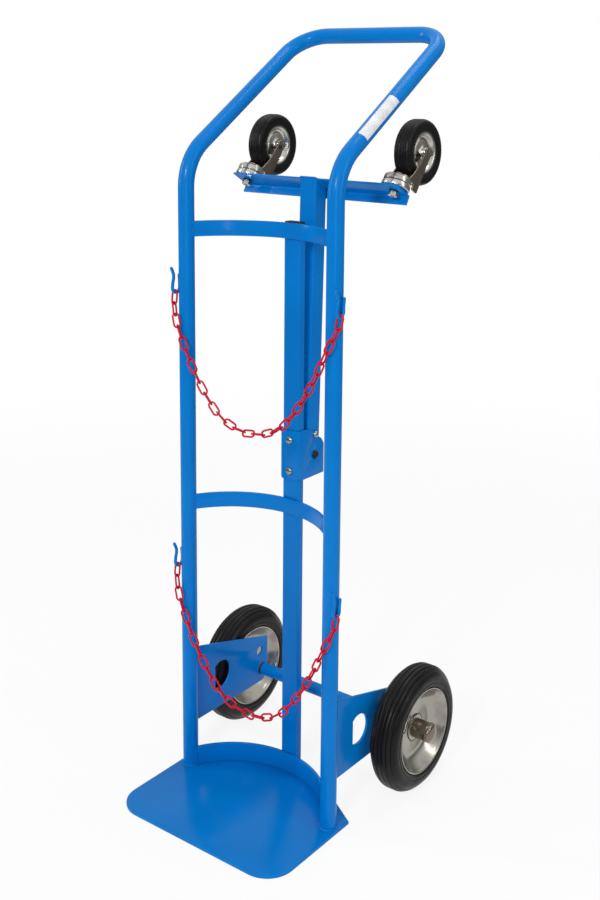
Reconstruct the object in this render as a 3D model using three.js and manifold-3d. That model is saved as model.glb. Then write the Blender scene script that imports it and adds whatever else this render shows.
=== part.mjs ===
// Gas cylinder hand truck: a bent tube frame on a toe plate, two main wheels, two chains,
// and a rear support leg that folds down on a pair of swivel casters.
// Millimetres, +Z up, +X to the truck's right, -Y to the front where the cylinder stands.
// The origin lies on the toe plate's underside, midway between the two uprights.
import * as THREE from 'three';
import { mergeVertices } from 'three/addons/utils/BufferGeometryUtils.js';
import Module from 'manifold-3d';

const wasm = await Module();
wasm.setup();

// ---------------------------------------------------------------- driving dimensions
const clearance = 0.3; // between parts that touch or slide on each other
const holeClearance = 0.3; // radial, round a bolt or an axle

// bent frame tube
const frameHeight = 1200;
const uprightSpacing = 280; // between the two upright axes
const tubeRadius = 12.5;
const tubeWall = 2;
const bendHeight = 998; // where the upright and handle arm axes meet
const handleReach = 290; // from the upright axis back to the crossbar axis
const kneeRadius = 80;
const handleCornerRadius = 52;

// toe plate and its upstand
const plateThickness = 5;
const plateFront = 157;
const plateHalfWidth = 158;
const plateSideRear = 29; // where the sides turn in towards the post
const plateRear = 100;
const plateRearHalfWidth = 47;
const plateCornerRadius = 45;
const upstandHeight = 31;

// curved cradle straps between the uprights
const strapThickness = 5;
const strapHeight = 24;
const cradleDepth = 77; // from the upright axes back to the hollow of the curve
const middleStrapHeight = 458;
const upperStrapHeight = 893;

// centre post, a flat rectangular tube behind the straps
const postWidth = 30;
const postDepth = 15;
const postWall = 1.5;
const postTop = 903;
const postCapThickness = 3.5;
const postCapPlug = 14;

// side plates that carry the axle
const sidePlateThickness = 4;
const sidePlateBottom = 75;
const sidePlateFrontTop = 208;
const sidePlateRearTop = 153;
const sidePlateRear = 198;
const sidePlateCornerRadius = 20;
const lighteningHoleRadius = 24;
const lighteningHoleY = 75;
const lighteningHoleZ = 131;
const lighteningHoleFront = 60; // a straight chord closes the hole towards the upright
const liftHoleRadius = 7.5;
const liftHoleY = 177;
const liftHoleZ = 133;

// main wheels
const wheelRadius = 100;
const axleY = 180.5;
const axleRadius = 10;
const axleOverhang = 5.5; // beyond the hub's outer end
const washerThickness = 2;
const washerRadius = 17;
const hubLength = 60;
const hubRadius = 15;
const hubBoreRadius = 13;
const endWasherThickness = 1.5;
const endWasherRadius = 16;
const axleCapRadius = 14;
const axleCapHeight = 7.3;
const rimSheet = 1.6;
const rimDiscRadius = 50;
const rimShoulderRadius = 61;
const rimShoulderWidth = 15;
const rimEdgeRadius = 68.5;
const rimEdgeWidth = 23.5;
const tyreBulgeRadius = 80;
const tyreBulgeWidth = 24.5;
const tyreShoulderRadius = 91;
const tyreShoulderWidth = 20;
const tyreCrownWidth = 9;

// leg bracket, a channel folded round the post
const bracketSheet = 2.5;
const bracketBottom = 501;
const bracketFrontTop = 581;
const bracketRearTop = 571;
const bracketShoulderY = 131;
const bracketRear = 145.7; // the catch bolt stops against this edge with the leg down
const bracketChamferZ = 548;
const bracketCornerCut = 3;
const bracketBoltHeights = [515, 565];
const bracketBoltRadius = 3;
const bracketBoltHeadRadius = 6;
const bracketBoltHeadHeight = 3.5;
const bracketNutHeight = 5;
const bracketNutFlats = 10;

// folding leg
const legPivotY = 122;
const legPivotZ = 535;
const legRestLean = THREE.MathUtils.degToRad(1.8);
const legWidth = 30;
const legWall = 2;
const legTail = 16.5; // below the pivot, short enough to turn behind the post
const legLength = 435; // from the pivot to the caster bar's front edge
const legBoltRadius = 4;
const legBoltHeadRadius = 6.5;
const legBoltFlats = 13;
const legBoltHeadHeight = 5;
const legNutHeight = 6.5;
const catchHeight = 33; // from the pivot up to the catch bolt
const catchHeadRadius = 5.5;
const catchHeadHeight = 4;

// caster bar, an angle section across the leg's upper end
const barHalfLength = 156;
const barSheet = 3;
const barFlange = 40;
const barLip = 16;
const barTilt = THREE.MathUtils.degToRad(28.7); // from the leg's own direction, rearward
const barFrontEdge = -5.5; // in front of or behind the leg's own axis

// casters
const casterSpacing = 280;
const casterSeat = 20; // from the bar's front edge back to the swivel axis
const kingpinRadius = 4;
const kingpinFlats = 13;
const kingpinHeadHeight = 6;
const kingpinNutHeight = 8;
const raceRadius = 22;
const raceHeight = 6;
const crownRadius = 21;
const crownHeight = 7;
const casterHeight = 76; // from the bar to the wheel's axis
const casterTrail = 28;
const casterRadius = 50;
const casterTyreWidth = 28;
const casterRimRadius = 31;
const casterRimWidth = 24;
const casterDiscWidth = 4;
const casterHubRadius = 12;
const casterHubLength = 33;
const forkSheet = 2.5;
const forkEyeRadius = 8;
const forkShelfFront = -12;
const forkShelfRear = 16;
const forkFootRear = 31; // the cheeks reach down behind the race
const forkFootLift = 3;
const forkWaist = 30; // height where the rear edge turns towards the eye
const casterBoltRadius = 3;
const casterBoltFlats = 10;
const casterBoltHeadHeight = 4;
const casterNutHeight = 5;

// chain hooks and chains
const hookRodRadius = 2.5;
const hookBendRadius = 8;
const hookShankHeight = 31; // heights on the hook are from its bottom
const hookWaistHeight = 28;
const hookWaistBack = 3; // the tip leans back here, then flares to the front
const hookTipHeight = 44;
const hookFlareOut = 3;
const upperHookBottom = 790.5;
const lowerHookBottom = 345.7;
const chainRadius = 6.2;
// one half of a hanging chain, from the hook to the middle: across, forward, and below the hook
const chainHalfRoute = [
  [156.5, -9.7, -0.3], [155.8, -11.4, -9], [153.6, -14, -18], [149, -17.2, -30],
  [143.2, -19.6, -43], [136, -20.2, -59], [127.8, -20.2, -76], [118.4, -20.2, -94],
  [108, -20.2, -112], [96, -20.2, -130.5], [82, -20.2, -149], [67.5, -20.2, -165],
  [48.5, -20.2, -179], [25, -20.2, -188], [0, -20.2, -191],
];
const lowerChainSlack = 1.034; // the lower chain hangs this much deeper than the upper one

// facets
const tubeSides = 16;
const rodSides = 8;
const boltSides = 12;
const ringSides = 20;
const wheelSides = 32;
const casterSides = 24;
const bendSteps = 6;
const strapSteps = 12;
const plateSteps = 8;

// ---------------------------------------------------------------- values that follow
const half = 0.5;
const uprightX = uprightSpacing * half;
const crossbarZ = frameHeight - tubeRadius;
const cradleChord = uprightX - tubeRadius;
const cradleRadius = (cradleChord ** 2 + cradleDepth ** 2) / (2 * cradleDepth);
const cradleCentreY = cradleDepth - cradleRadius;
const postFront = cradleDepth + strapThickness + clearance;
const postRear = postFront + postDepth;
const plateTop = plateThickness;
const sidePlateOuter = uprightX + sidePlateThickness * half;
const hubInner = sidePlateOuter + washerThickness + 2 * clearance;
const hubOuter = hubInner + hubLength;
const wheelPlane = (hubInner + hubOuter) * half;
const axleZ = wheelRadius;
const axleHalfLength = hubOuter + axleOverhang;
const bracketInner = Math.max(postWidth, legWidth) * half + clearance;
const bracketOuter = bracketInner + bracketSheet;
const bracketWebBack = postFront - clearance;
const bracketWebFront = bracketWebBack - bracketSheet;
const legHalf = legWidth * half;
const forkInner = casterHubLength * half + clearance;
const forkOuter = forkInner + forkSheet;
const crownBottom = clearance + raceHeight + clearance;
const crownTop = crownBottom + crownHeight;
const casterX = casterSpacing * half;

// ---------------------------------------------------------------- materials
const finish = (color, roughness, metalness) =>
  new THREE.MeshStandardMaterial({ color, roughness, metalness });
const bluePaint = finish(0x006ec8, 0.3, 0);
const blackRubber = finish(0x232020, 0.75, 0);
const zincPlate = finish(0xb4b6a8, 0.35, 0.9);
const blackPlastic = finish(0x141414, 0.5, 0);
const blackSteel = finish(0x1c1d20, 0.4, 0.8);
const redChain = finish(0xbe1e32, 0.35, 0);

// ---------------------------------------------------------------- solids
// the bare triangles of a geometry with shared corners
function bareOf(geometry) {
  const bare = geometry.index ? geometry.toNonIndexed() : geometry.clone();
  bare.deleteAttribute('normal');
  bare.deleteAttribute('uv');
  return mergeVertices(bare, 1e-4);
}

// the same closed surface with its faces turned outward
function outward(geometry) {
  const merged = bareOf(geometry);
  const corner = [new THREE.Vector3(), new THREE.Vector3(), new THREE.Vector3()];
  const index = merged.index.array;
  let volume = 0;
  for (let face = 0; face < index.length; face += 3) {
    corner.forEach((point, at) => point.fromBufferAttribute(merged.attributes.position, index[face + at]));
    volume += corner[0].dot(corner[1].clone().cross(corner[2]));
  }
  if (volume < 0) {
    for (let face = 0; face < index.length; face += 3) {
      [index[face], index[face + 1]] = [index[face + 1], index[face]];
    }
  }
  return merged;
}

function solidOf(geometry) {
  const merged = bareOf(geometry);
  return new wasm.Manifold(new wasm.Mesh({
    numProp: 3,
    vertProperties: new Float32Array(merged.attributes.position.array),
    triVerts: new Uint32Array(merged.index.array),
  }));
}

function geometryOf(solid) {
  const mesh = solid.getMesh();
  const geometry = new THREE.BufferGeometry();
  geometry.setAttribute('position', new THREE.BufferAttribute(mesh.vertProperties, 3));
  geometry.setIndex(new THREE.BufferAttribute(mesh.triVerts, 1));
  return geometry;
}

function join(...geometries) {
  return geometryOf(geometries.map(solidOf).reduce((sum, solid) => sum.add(solid)));
}

function cut(geometry, ...tools) {
  return geometryOf(tools.map(solidOf).reduce((rest, tool) => rest.subtract(tool), solidOf(geometry)));
}

function block(xRange, yRange, zRange) {
  const [x, y, z] = [xRange, yRange, zRange].map(([low, high]) => [high - low, (high + low) * half]);
  return new THREE.BoxGeometry(x[0], y[0], z[0]).translate(x[1], y[1], z[1]);
}

// a round bar from low to high along one axis, at the place given by the other two coordinates
function bar(axis, radius, [low, high], [a, b], count = boltSides) {
  const geometry = new THREE.CylinderGeometry(radius, radius, high - low, count);
  const middle = (low + high) * half;
  if (axis === 'x') return geometry.rotateZ(-Math.PI / 2).translate(middle, a, b);
  if (axis === 'y') return geometry.translate(a, middle, b);
  return geometry.rotateX(Math.PI / 2).translate(a, b, middle);
}

// a bar that leaves room all round a bolt or an axle of the given radius, its flats included
function drill(axis, radius, range, place, count = boltSides) {
  return bar(axis, (radius + holeClearance) / Math.cos(Math.PI / count), range, place, count);
}

// a hexagon prism measured across its flats
function hexagon(axis, flats, range, place) {
  return bar(axis, flats / Math.sqrt(3), range, place, 6);
}

// an outline drawn in the Y-Z plane, given thickness along X from low to high
function sheetYZ(shape, [low, high], curveSegments = plateSteps) {
  const geometry = new THREE.ExtrudeGeometry(shape, { depth: high - low, bevelEnabled: false, curveSegments });
  const toYZ = new THREE.Matrix4().makeBasis(
    new THREE.Vector3(0, 1, 0), new THREE.Vector3(0, 0, 1), new THREE.Vector3(1, 0, 0));
  return geometry.applyMatrix4(toYZ).translate(low, 0, 0);
}

// an outline drawn in the X-Y plane, given height along Z from low to high
function sheetXY(shape, [low, high], curveSegments = plateSteps) {
  return new THREE.ExtrudeGeometry(shape, { depth: high - low, bevelEnabled: false, curveSegments })
    .translate(0, 0, low);
}

// a body turned about the X axis from [radius, x] points
function turnedX(points, count) {
  const profile = points.map(([radius, x]) => new THREE.Vector2(radius, x));
  profile.push(profile[0].clone());
  return outward(new THREE.LatheGeometry(profile, count).rotateZ(-Math.PI / 2));
}

// a body turned about the Z axis from [radius, z] points
function turnedZ(points, count) {
  const profile = points.map(([radius, z]) => new THREE.Vector2(radius, z));
  profile.push(profile[0].clone());
  return outward(new THREE.LatheGeometry(profile, count).rotateX(Math.PI / 2));
}

// a path that passes through its stations one by one, so that each ring of a tube lies on one
class StationPath extends THREE.Curve {
  constructor(stations) {
    super();
    this.stations = stations.map((point) => new THREE.Vector3(...point));
  }

  getPoint(t) {
    const last = this.stations.length - 1;
    const place = THREE.MathUtils.clamp(t, 0, 1) * last;
    const index = Math.min(Math.floor(place), last - 1);
    return this.stations[index].clone().lerp(this.stations[index + 1], place - index);
  }

  getPointAt(u) {
    return this.getPoint(u);
  }

  getTangent(t) {
    const last = this.stations.length - 1;
    const index = Math.round(THREE.MathUtils.clamp(t, 0, 1) * last);
    const before = this.stations[Math.max(index - 1, 0)];
    const here = this.stations[index];
    const after = this.stations[Math.min(index + 1, last)];
    const arriving = here.clone().sub(before).normalize();
    const leaving = after.clone().sub(here).normalize();
    return arriving.add(leaving).normalize();
  }

  getTangentAt(u) {
    return this.getTangent(u);
  }
}

function tube(stations, outerRadius, innerRadius, count) {
  const section = new THREE.Shape().absarc(0, 0, outerRadius, 0, 2 * Math.PI);
  if (innerRadius > 0) section.holes.push(new THREE.Path().absarc(0, 0, innerRadius, 0, 2 * Math.PI, true));
  return new THREE.ExtrudeGeometry(section, {
    steps: stations.length - 1,
    curveSegments: count * half,
    extrudePath: new StationPath(stations),
  });
}

// the corners of a route rounded into arcs of the given radii, with the straights between them
function roundedRoute(corners, radii) {
  const points = corners.map((corner) => new THREE.Vector3(...corner));
  const route = [points[0].toArray()];
  for (let index = 1; index < points.length - 1; index += 1) {
    const corner = points[index];
    const back = points[index - 1].clone().sub(corner).normalize();
    const on = points[index + 1].clone().sub(corner).normalize();
    const halfAngle = back.angleTo(on) * half;
    const radius = radii[index - 1];
    const centre = back.clone().add(on).normalize().multiplyScalar(radius / Math.sin(halfAngle)).add(corner);
    const start = back.multiplyScalar(radius / Math.tan(halfAngle)).add(corner).sub(centre);
    const turn = Math.PI - 2 * halfAngle;
    const axis = start.clone().cross(corner.clone().sub(centre)).normalize();
    for (let step = 0; step <= bendSteps; step += 1) {
      const angle = (turn * step) / bendSteps;
      route.push(start.clone().applyAxisAngle(axis, angle).add(centre).toArray());
    }
  }
  route.push(points[points.length - 1].toArray());
  return route;
}

const truck = new THREE.Group();

function place(name, geometry, material, group = truck) {
  const mesh = new THREE.Mesh(geometry, material);
  mesh.name = name;
  group.add(mesh);
  return mesh;
}

const sides = [['left', -1], ['right', 1]];

// ---------------------------------------------------------------- frame
function frameTube() {
  const corners = [
    [-uprightX, 0, plateTop], [-uprightX, 0, bendHeight], [-uprightX, handleReach, crossbarZ],
    [uprightX, handleReach, crossbarZ], [uprightX, 0, bendHeight], [uprightX, 0, plateTop],
  ];
  const radii = [kneeRadius, handleCornerRadius, handleCornerRadius, kneeRadius];
  return tube(roundedRoute(corners, radii), tubeRadius, tubeRadius - tubeWall, tubeSides);
}

function toePlate() {
  const outline = new THREE.Shape();
  const cornerX = plateHalfWidth - plateCornerRadius;
  const cornerY = plateCornerRadius - plateFront;
  outline.moveTo(-cornerX, -plateFront);
  outline.lineTo(cornerX, -plateFront);
  outline.absarc(cornerX, cornerY, plateCornerRadius, -Math.PI / 2, 0, false);
  outline.lineTo(plateHalfWidth, plateSideRear);
  outline.lineTo(plateRearHalfWidth, plateRear);
  outline.lineTo(-plateRearHalfWidth, plateRear);
  outline.lineTo(-plateHalfWidth, plateSideRear);
  outline.absarc(-cornerX, cornerY, plateCornerRadius, Math.PI, 1.5 * Math.PI, false);
  return sheetXY(outline, [0, plateThickness], plateSteps * half);
}

// the curve that the cylinder leans against, cut to fit the inner sides of the two uprights
function cradleStrap(bottom, height) {
  const reach = Math.asin(uprightX / (cradleRadius + strapThickness));
  const outline = new THREE.Shape();
  const [from, to] = [Math.PI / 2 - reach, Math.PI / 2 + reach];
  outline.absarc(0, cradleCentreY, cradleRadius, to, from, true);
  outline.absarc(0, cradleCentreY, cradleRadius + strapThickness, from, to, false);
  const strap = sheetXY(outline, [bottom, bottom + height], strapSteps);
  const uprights = sides.map(([, side]) =>
    bar('z', tubeRadius + clearance, [bottom - 1, bottom + height + 1], [side * uprightX, 0], 2 * tubeSides));
  const outside = sides.map(([, side]) => block(
    side < 0 ? [-2 * uprightX, -uprightX] : [uprightX, 2 * uprightX],
    [-uprightX, uprightX], [bottom - 1, bottom + height + 1]));
  const trimmed = solidOf(cut(strap, ...uprights, ...outside));
  const largest = trimmed.decompose().reduce((best, piece) => (piece.volume() > best.volume() ? piece : best));
  return geometryOf(largest);
}

function centrePost() {
  const x = postWidth * half;
  const outer = block([-x, x], [postFront, postRear], [plateTop, postTop]);
  const bore = block([postWall - x, x - postWall], [postFront + postWall, postRear - postWall],
    [plateTop - 1, postTop + 1]);
  const bolts = bracketBoltHeights.map((height) =>
    drill('y', bracketBoltRadius, [postFront - 1, postRear + 1], [0, height]));
  return cut(outer, bore, ...bolts);
}

function postCap() {
  const x = postWidth * half;
  const inset = postWall + clearance;
  return join(
    block([-x, x], [postFront, postRear], [postTop, postTop + postCapThickness]),
    block([inset - x, x - inset], [postFront + inset, postRear - inset], [postTop - postCapPlug, postTop + 1]));
}

function sidePlate(side) {
  const outline = new THREE.Shape();
  outline.moveTo(0, sidePlateBottom);
  outline.lineTo(sidePlateRear - sidePlateCornerRadius, sidePlateBottom);
  outline.absarc(sidePlateRear - sidePlateCornerRadius, sidePlateBottom + sidePlateCornerRadius,
    sidePlateCornerRadius, -Math.PI / 2, 0, false);
  outline.lineTo(sidePlateRear, sidePlateRearTop);
  outline.lineTo(0, sidePlateFrontTop);
  const chord = Math.acos((lighteningHoleFront - lighteningHoleY) / lighteningHoleRadius);
  outline.holes.push(
    new THREE.Path().absarc(lighteningHoleY, lighteningHoleZ, lighteningHoleRadius, -chord, chord, false),
    new THREE.Path().absarc(liftHoleY, liftHoleZ, liftHoleRadius, 0, 2 * Math.PI, true));
  const outer = side * sidePlateOuter;
  const inner = side * (sidePlateOuter - sidePlateThickness);
  const across = [Math.min(outer, inner), Math.max(outer, inner)];
  const plate = sheetYZ(outline, across);
  const axleHole = drill('x', axleRadius, [across[0] - 1, across[1] + 1], [axleY, axleZ], ringSides);
  const upright = bar('z', tubeRadius + clearance, [sidePlateBottom - 1, sidePlateFrontTop + 1],
    [side * uprightX, 0], 2 * tubeSides);
  const front = block([side * uprightX - tubeRadius, side * uprightX + tubeRadius], [-1, tubeRadius * half],
    [sidePlateBottom - 1, sidePlateFrontTop + 1]);
  return cut(plate, axleHole, upright, front);
}

// an open J of round rod: a shank on the upright, a round bottom, and a tip that flares out
function chainHook(side, bottom) {
  const x = side * (uprightX + tubeRadius + clearance + hookRodRadius);
  const centreZ = bottom + hookRodRadius + hookBendRadius;
  const tipY = -2 * hookBendRadius;
  const route = [[0, bottom + hookShankHeight]];
  for (let step = 0; step <= bendSteps; step += 1) {
    const angle = (-Math.PI * step) / bendSteps;
    route.push([hookBendRadius * (Math.cos(angle) - 1), centreZ + hookBendRadius * Math.sin(angle)]);
  }
  route.push([tipY + hookWaistBack, bottom + hookWaistHeight]);
  route.push([tipY - hookFlareOut, bottom + hookTipHeight]);
  return tube(route.map(([y, z]) => [x, y, z]), hookRodRadius, 0, rodSides);
}

function chain(hookBottom, slack) {
  const onRight = chainHalfRoute.map(([x, y, drop]) => [x, y, hookBottom + drop * slack]);
  const onLeft = onRight.slice(0, -1).map(([x, y, z]) => [-x, y, z]);
  return tube([...onRight, ...onLeft.reverse()].reverse(), chainRadius, 0, rodSides);
}

place('main_frame_tube', frameTube(), bluePaint);
place('toe_plate', toePlate(), bluePaint);
place('toe_upstand', cradleStrap(plateTop, upstandHeight), bluePaint);
place('middle_cradle_strap', cradleStrap(middleStrapHeight - strapHeight * half, strapHeight), bluePaint);
place('upper_cradle_strap', cradleStrap(upperStrapHeight - strapHeight * half, strapHeight), bluePaint);
place('centre_post', centrePost(), bluePaint);
place('post_cap', postCap(), blackPlastic);
for (const [name, side] of sides) {
  place(`${name}_wheel_plate`, sidePlate(side), bluePaint);
  place(`upper_${name}_hook`, chainHook(side, upperHookBottom), bluePaint);
  place(`lower_${name}_hook`, chainHook(side, lowerHookBottom), bluePaint);
}
place('upper_chain', chain(upperHookBottom, 1), redChain);
place('lower_chain', chain(lowerHookBottom, lowerChainSlack), redChain);

// ---------------------------------------------------------------- axle and main wheels
function tyre() {
  const crown = [
    [tyreShoulderRadius, tyreShoulderWidth], [wheelRadius - 1.5, tyreCrownWidth + 5],
    [wheelRadius, tyreCrownWidth],
  ];
  const flank = [
    [rimDiscRadius + 2 * clearance, clearance], [rimShoulderRadius + clearance, rimShoulderWidth - clearance],
    [rimEdgeRadius + clearance, rimEdgeWidth - rimSheet - clearance], [rimEdgeRadius + clearance, rimEdgeWidth],
    [tyreBulgeRadius, tyreBulgeWidth], ...crown,
  ];
  const mirrored = flank.map(([radius, x]) => [radius, -x]).reverse();
  return turnedX([...flank, ...mirrored], wheelSides);
}

// one pressed half of the rim: a flat disc, a cone, and a rolled outer edge
function rimHalf(face) {
  const inner = [
    [hubRadius + clearance, clearance * half], [rimDiscRadius, clearance * half],
    [rimShoulderRadius, rimShoulderWidth], [rimEdgeRadius, rimEdgeWidth - rimSheet],
  ];
  const outer = [
    [rimEdgeRadius, rimEdgeWidth], [rimShoulderRadius - rimSheet, rimShoulderWidth + rimSheet],
    [rimDiscRadius - rimSheet, clearance * half + rimSheet], [hubRadius + clearance, clearance * half + rimSheet],
  ];
  const profile = [...inner, ...outer].map(([radius, x]) => [radius, face * x]);
  return turnedX(face > 0 ? profile : profile.reverse(), wheelSides);
}

// a push-on cap with a domed face, bored to the depth that the axle end reaches into it
function axleCap() {
  const bore = axleRadius + clearance;
  const depth = axleOverhang - endWasherThickness - clearance;
  const dome = [0, 1, 2, 3].map((step) => {
    const angle = (Math.PI / 6) * step;
    return [axleCapRadius * Math.cos(angle), axleCapHeight * half * (1 + Math.sin(angle))];
  });
  dome[dome.length - 1][0] = 0;
  return turnedX([[bore, 0], [axleCapRadius, 0], ...dome, [0, depth], [bore, depth]], ringSides);
}

function ring(inner, outer, length, count = ringSides) {
  return turnedX([[inner, -length * half], [outer, -length * half], [outer, length * half],
    [inner, length * half]], count);
}

place('wheel_axle', bar('x', axleRadius, [-axleHalfLength, axleHalfLength], [axleY, axleZ], ringSides), zincPlate);
for (const [name, side] of sides) {
  const wheel = new THREE.Group();
  wheel.position.set(side * wheelPlane, axleY, axleZ);
  truck.add(wheel);
  place(`${name}_tyre`, tyre(), blackRubber, wheel);
  place(`${name}_rim_outer_half`, rimHalf(side), zincPlate, wheel);
  place(`${name}_rim_inner_half`, rimHalf(-side), zincPlate, wheel);
  place(`${name}_hub`, ring(hubBoreRadius, hubRadius, hubLength), zincPlate, wheel);
  place(`${name}_roller_cage`, ring(axleRadius + clearance, hubBoreRadius - clearance, hubLength - 4),
    blackPlastic, wheel);
  const washer = place(`${name}_inner_washer`,
    ring(axleRadius + clearance, washerRadius, washerThickness), zincPlate, wheel);
  washer.position.x = -side * (hubLength * half + clearance + washerThickness * half);
  const endWasher = place(`${name}_outer_washer`,
    ring(axleRadius + clearance, endWasherRadius, endWasherThickness), zincPlate, wheel);
  endWasher.position.x = side * (hubLength * half + clearance + endWasherThickness * half);
  const cap = place(`${name}_axle_cap`, axleCap(), zincPlate);
  cap.position.set(side * (hubOuter + endWasherThickness + 2 * clearance), axleY, axleZ);
  cap.rotation.z = side > 0 ? 0 : Math.PI;
}

// ---------------------------------------------------------------- leg bracket
// the slot that the catch bolt swings out of, from its seat through the chamfered rear corner
function catchSlot([low, high]) {
  const bandHalf = legBoltRadius + holeClearance;
  const seatAngle = Math.PI / 2 - legRestLean;
  const openAngle = seatAngle - Math.PI / 2;
  const seat = [legPivotY + catchHeight * Math.cos(seatAngle), legPivotZ + catchHeight * Math.sin(seatAngle)];
  const band = new THREE.Shape();
  band.absarc(legPivotY, legPivotZ, catchHeight + bandHalf, openAngle, seatAngle, false);
  band.absarc(legPivotY, legPivotZ, catchHeight - bandHalf, seatAngle, openAngle, true);
  return join(sheetYZ(band, [low, high]), bar('x', bandHalf, [low, high], seat, ringSides));
}

function legBracket() {
  const outline = new THREE.Shape();
  outline.moveTo(bracketWebFront, bracketBottom);
  outline.lineTo(bracketRear, bracketBottom);
  outline.lineTo(bracketRear, bracketChamferZ);
  outline.lineTo(bracketShoulderY, bracketRearTop);
  outline.lineTo(postRear, bracketFrontTop);
  outline.lineTo(bracketWebFront, bracketFrontTop);
  const full = sheetYZ(outline, [-bracketOuter, bracketOuter]);
  const hollow = block([-bracketInner, bracketInner], [bracketWebBack, bracketRear + 1],
    [bracketBottom - 1, bracketFrontTop + 1]);
  const across = [-bracketOuter - 1, bracketOuter + 1];
  const pivotHole = drill('x', legBoltRadius, across, [legPivotY, legPivotZ]);
  const webBolts = bracketBoltHeights.map((height) =>
    drill('y', bracketBoltRadius, [bracketWebFront - 1, bracketWebBack + 1], [0, height]));
  const corners = sides.map(([, side]) =>
    block([-bracketCornerCut, bracketCornerCut], [-bracketCornerCut, bracketCornerCut],
      [-bracketCornerCut, bracketCornerCut]).rotateY(Math.PI / 4)
      .translate(side * bracketOuter, bracketWebFront, bracketBottom));
  return cut(full, hollow, pivotHole, catchSlot(across), ...webBolts, ...corners);
}

// a round-headed bolt along X or Y, its head beyond headAt on the given side, its end at endAt
function domedBolt(axis, radius, headRadius, headHeight, headAt, endAt, place) {
  const out = Math.sign(headAt - endAt);
  const steps = [0, 1, 2, 3].map((step) => (Math.PI / 6) * step);
  const dome = steps.map((angle) => [headRadius * Math.cos(angle), headAt + out * headHeight * Math.sin(angle)]);
  dome[dome.length - 1][0] = 0;
  const turned = turnedX([[0, endAt], [radius, endAt], [radius, headAt], ...dome], boltSides);
  if (axis === 'x') return turned.translate(0, ...place);
  return turned.rotateZ(Math.PI / 2).translate(place[0], 0, place[1]);
}

function nut(axis, flats, radius, range, place) {
  return cut(hexagon(axis, flats, range, place), drill(axis, radius, [range[0] - 1, range[1] + 1], place));
}

place('leg_bracket', legBracket(), bluePaint);
for (const [index, height] of bracketBoltHeights.entries()) {
  const name = ['lower', 'upper'][index];
  const nutRange = [postRear + clearance, postRear + clearance + bracketNutHeight];
  place(`bracket_bolt_${name}`, domedBolt('y', bracketBoltRadius, bracketBoltHeadRadius,
    bracketBoltHeadHeight, bracketWebFront - clearance, nutRange[1], [0, height]), zincPlate);
  place(`bracket_nut_${name}`, nut('y', bracketNutFlats, bracketBoltRadius, nutRange, [0, height]), zincPlate);
}

const pivotPlace = [legPivotY, legPivotZ];
const legSeat = bracketOuter + clearance;
const pivotNutRange = [-legSeat - legNutHeight, -legSeat];
place('leg_pivot_bolt', domedBolt('x', legBoltRadius, legBoltHeadRadius, legBoltHeadHeight,
  legSeat, pivotNutRange[0] - 1, pivotPlace), blackSteel);
place('leg_pivot_nut', nut('x', legBoltFlats, legBoltRadius, pivotNutRange, pivotPlace), blackSteel);

// ---------------------------------------------------------------- leg and caster bar
const leg = new THREE.Group();
leg.position.set(0, legPivotY, legPivotZ);
leg.rotation.x = -legRestLean;
truck.add(leg);

// the caster bar's own frame: origin on the flange's upper face at its front edge, Z square to it
const barFrame = new THREE.Group();
barFrame.position.set(0, barFrontEdge, legLength);
barFrame.rotation.x = -barTilt;
leg.add(barFrame);

function legTube() {
  const top = legLength + legWidth;
  const outer = block([-legHalf, legHalf], [-legHalf, legHalf], [-legTail, top]);
  const bore = block([legWall - legHalf, legHalf - legWall], [legWall - legHalf, legHalf - legWall],
    [-legTail - 1, top + 1]);
  const mitre = block([-legWidth, legWidth], [-legWidth, 2 * legWidth], [-barSheet - clearance, 2 * legWidth])
    .rotateX(-barTilt).translate(0, barFrontEdge, legLength);
  const holes = [0, catchHeight].map((height) =>
    drill('x', legBoltRadius, [-legWidth, legWidth], [0, height]));
  return cut(outer, bore, mitre, ...holes);
}

function casterBar() {
  const flange = block([-barHalfLength, barHalfLength], [0, barFlange], [-barSheet, 0]);
  const lip = block([-barHalfLength, barHalfLength], [barFlange - barSheet, barFlange], [-barLip, 0]);
  const holes = sides.map(([, side]) =>
    drill('z', kingpinRadius, [-barSheet - 1, 1], [side * casterX, casterSeat]));
  return cut(join(flange, lip), ...holes);
}

place('leg_tube', legTube(), bluePaint, leg);
place('caster_bar', casterBar(), bluePaint, barFrame);
place('leg_catch_bolt', domedBolt('x', legBoltRadius, catchHeadRadius, catchHeadHeight,
  legSeat, pivotNutRange[0] - 1, [0, catchHeight]), zincPlate, leg);
place('leg_catch_nut', nut('x', legBoltFlats, legBoltRadius, pivotNutRange, [0, catchHeight]), zincPlate, leg);

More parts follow.
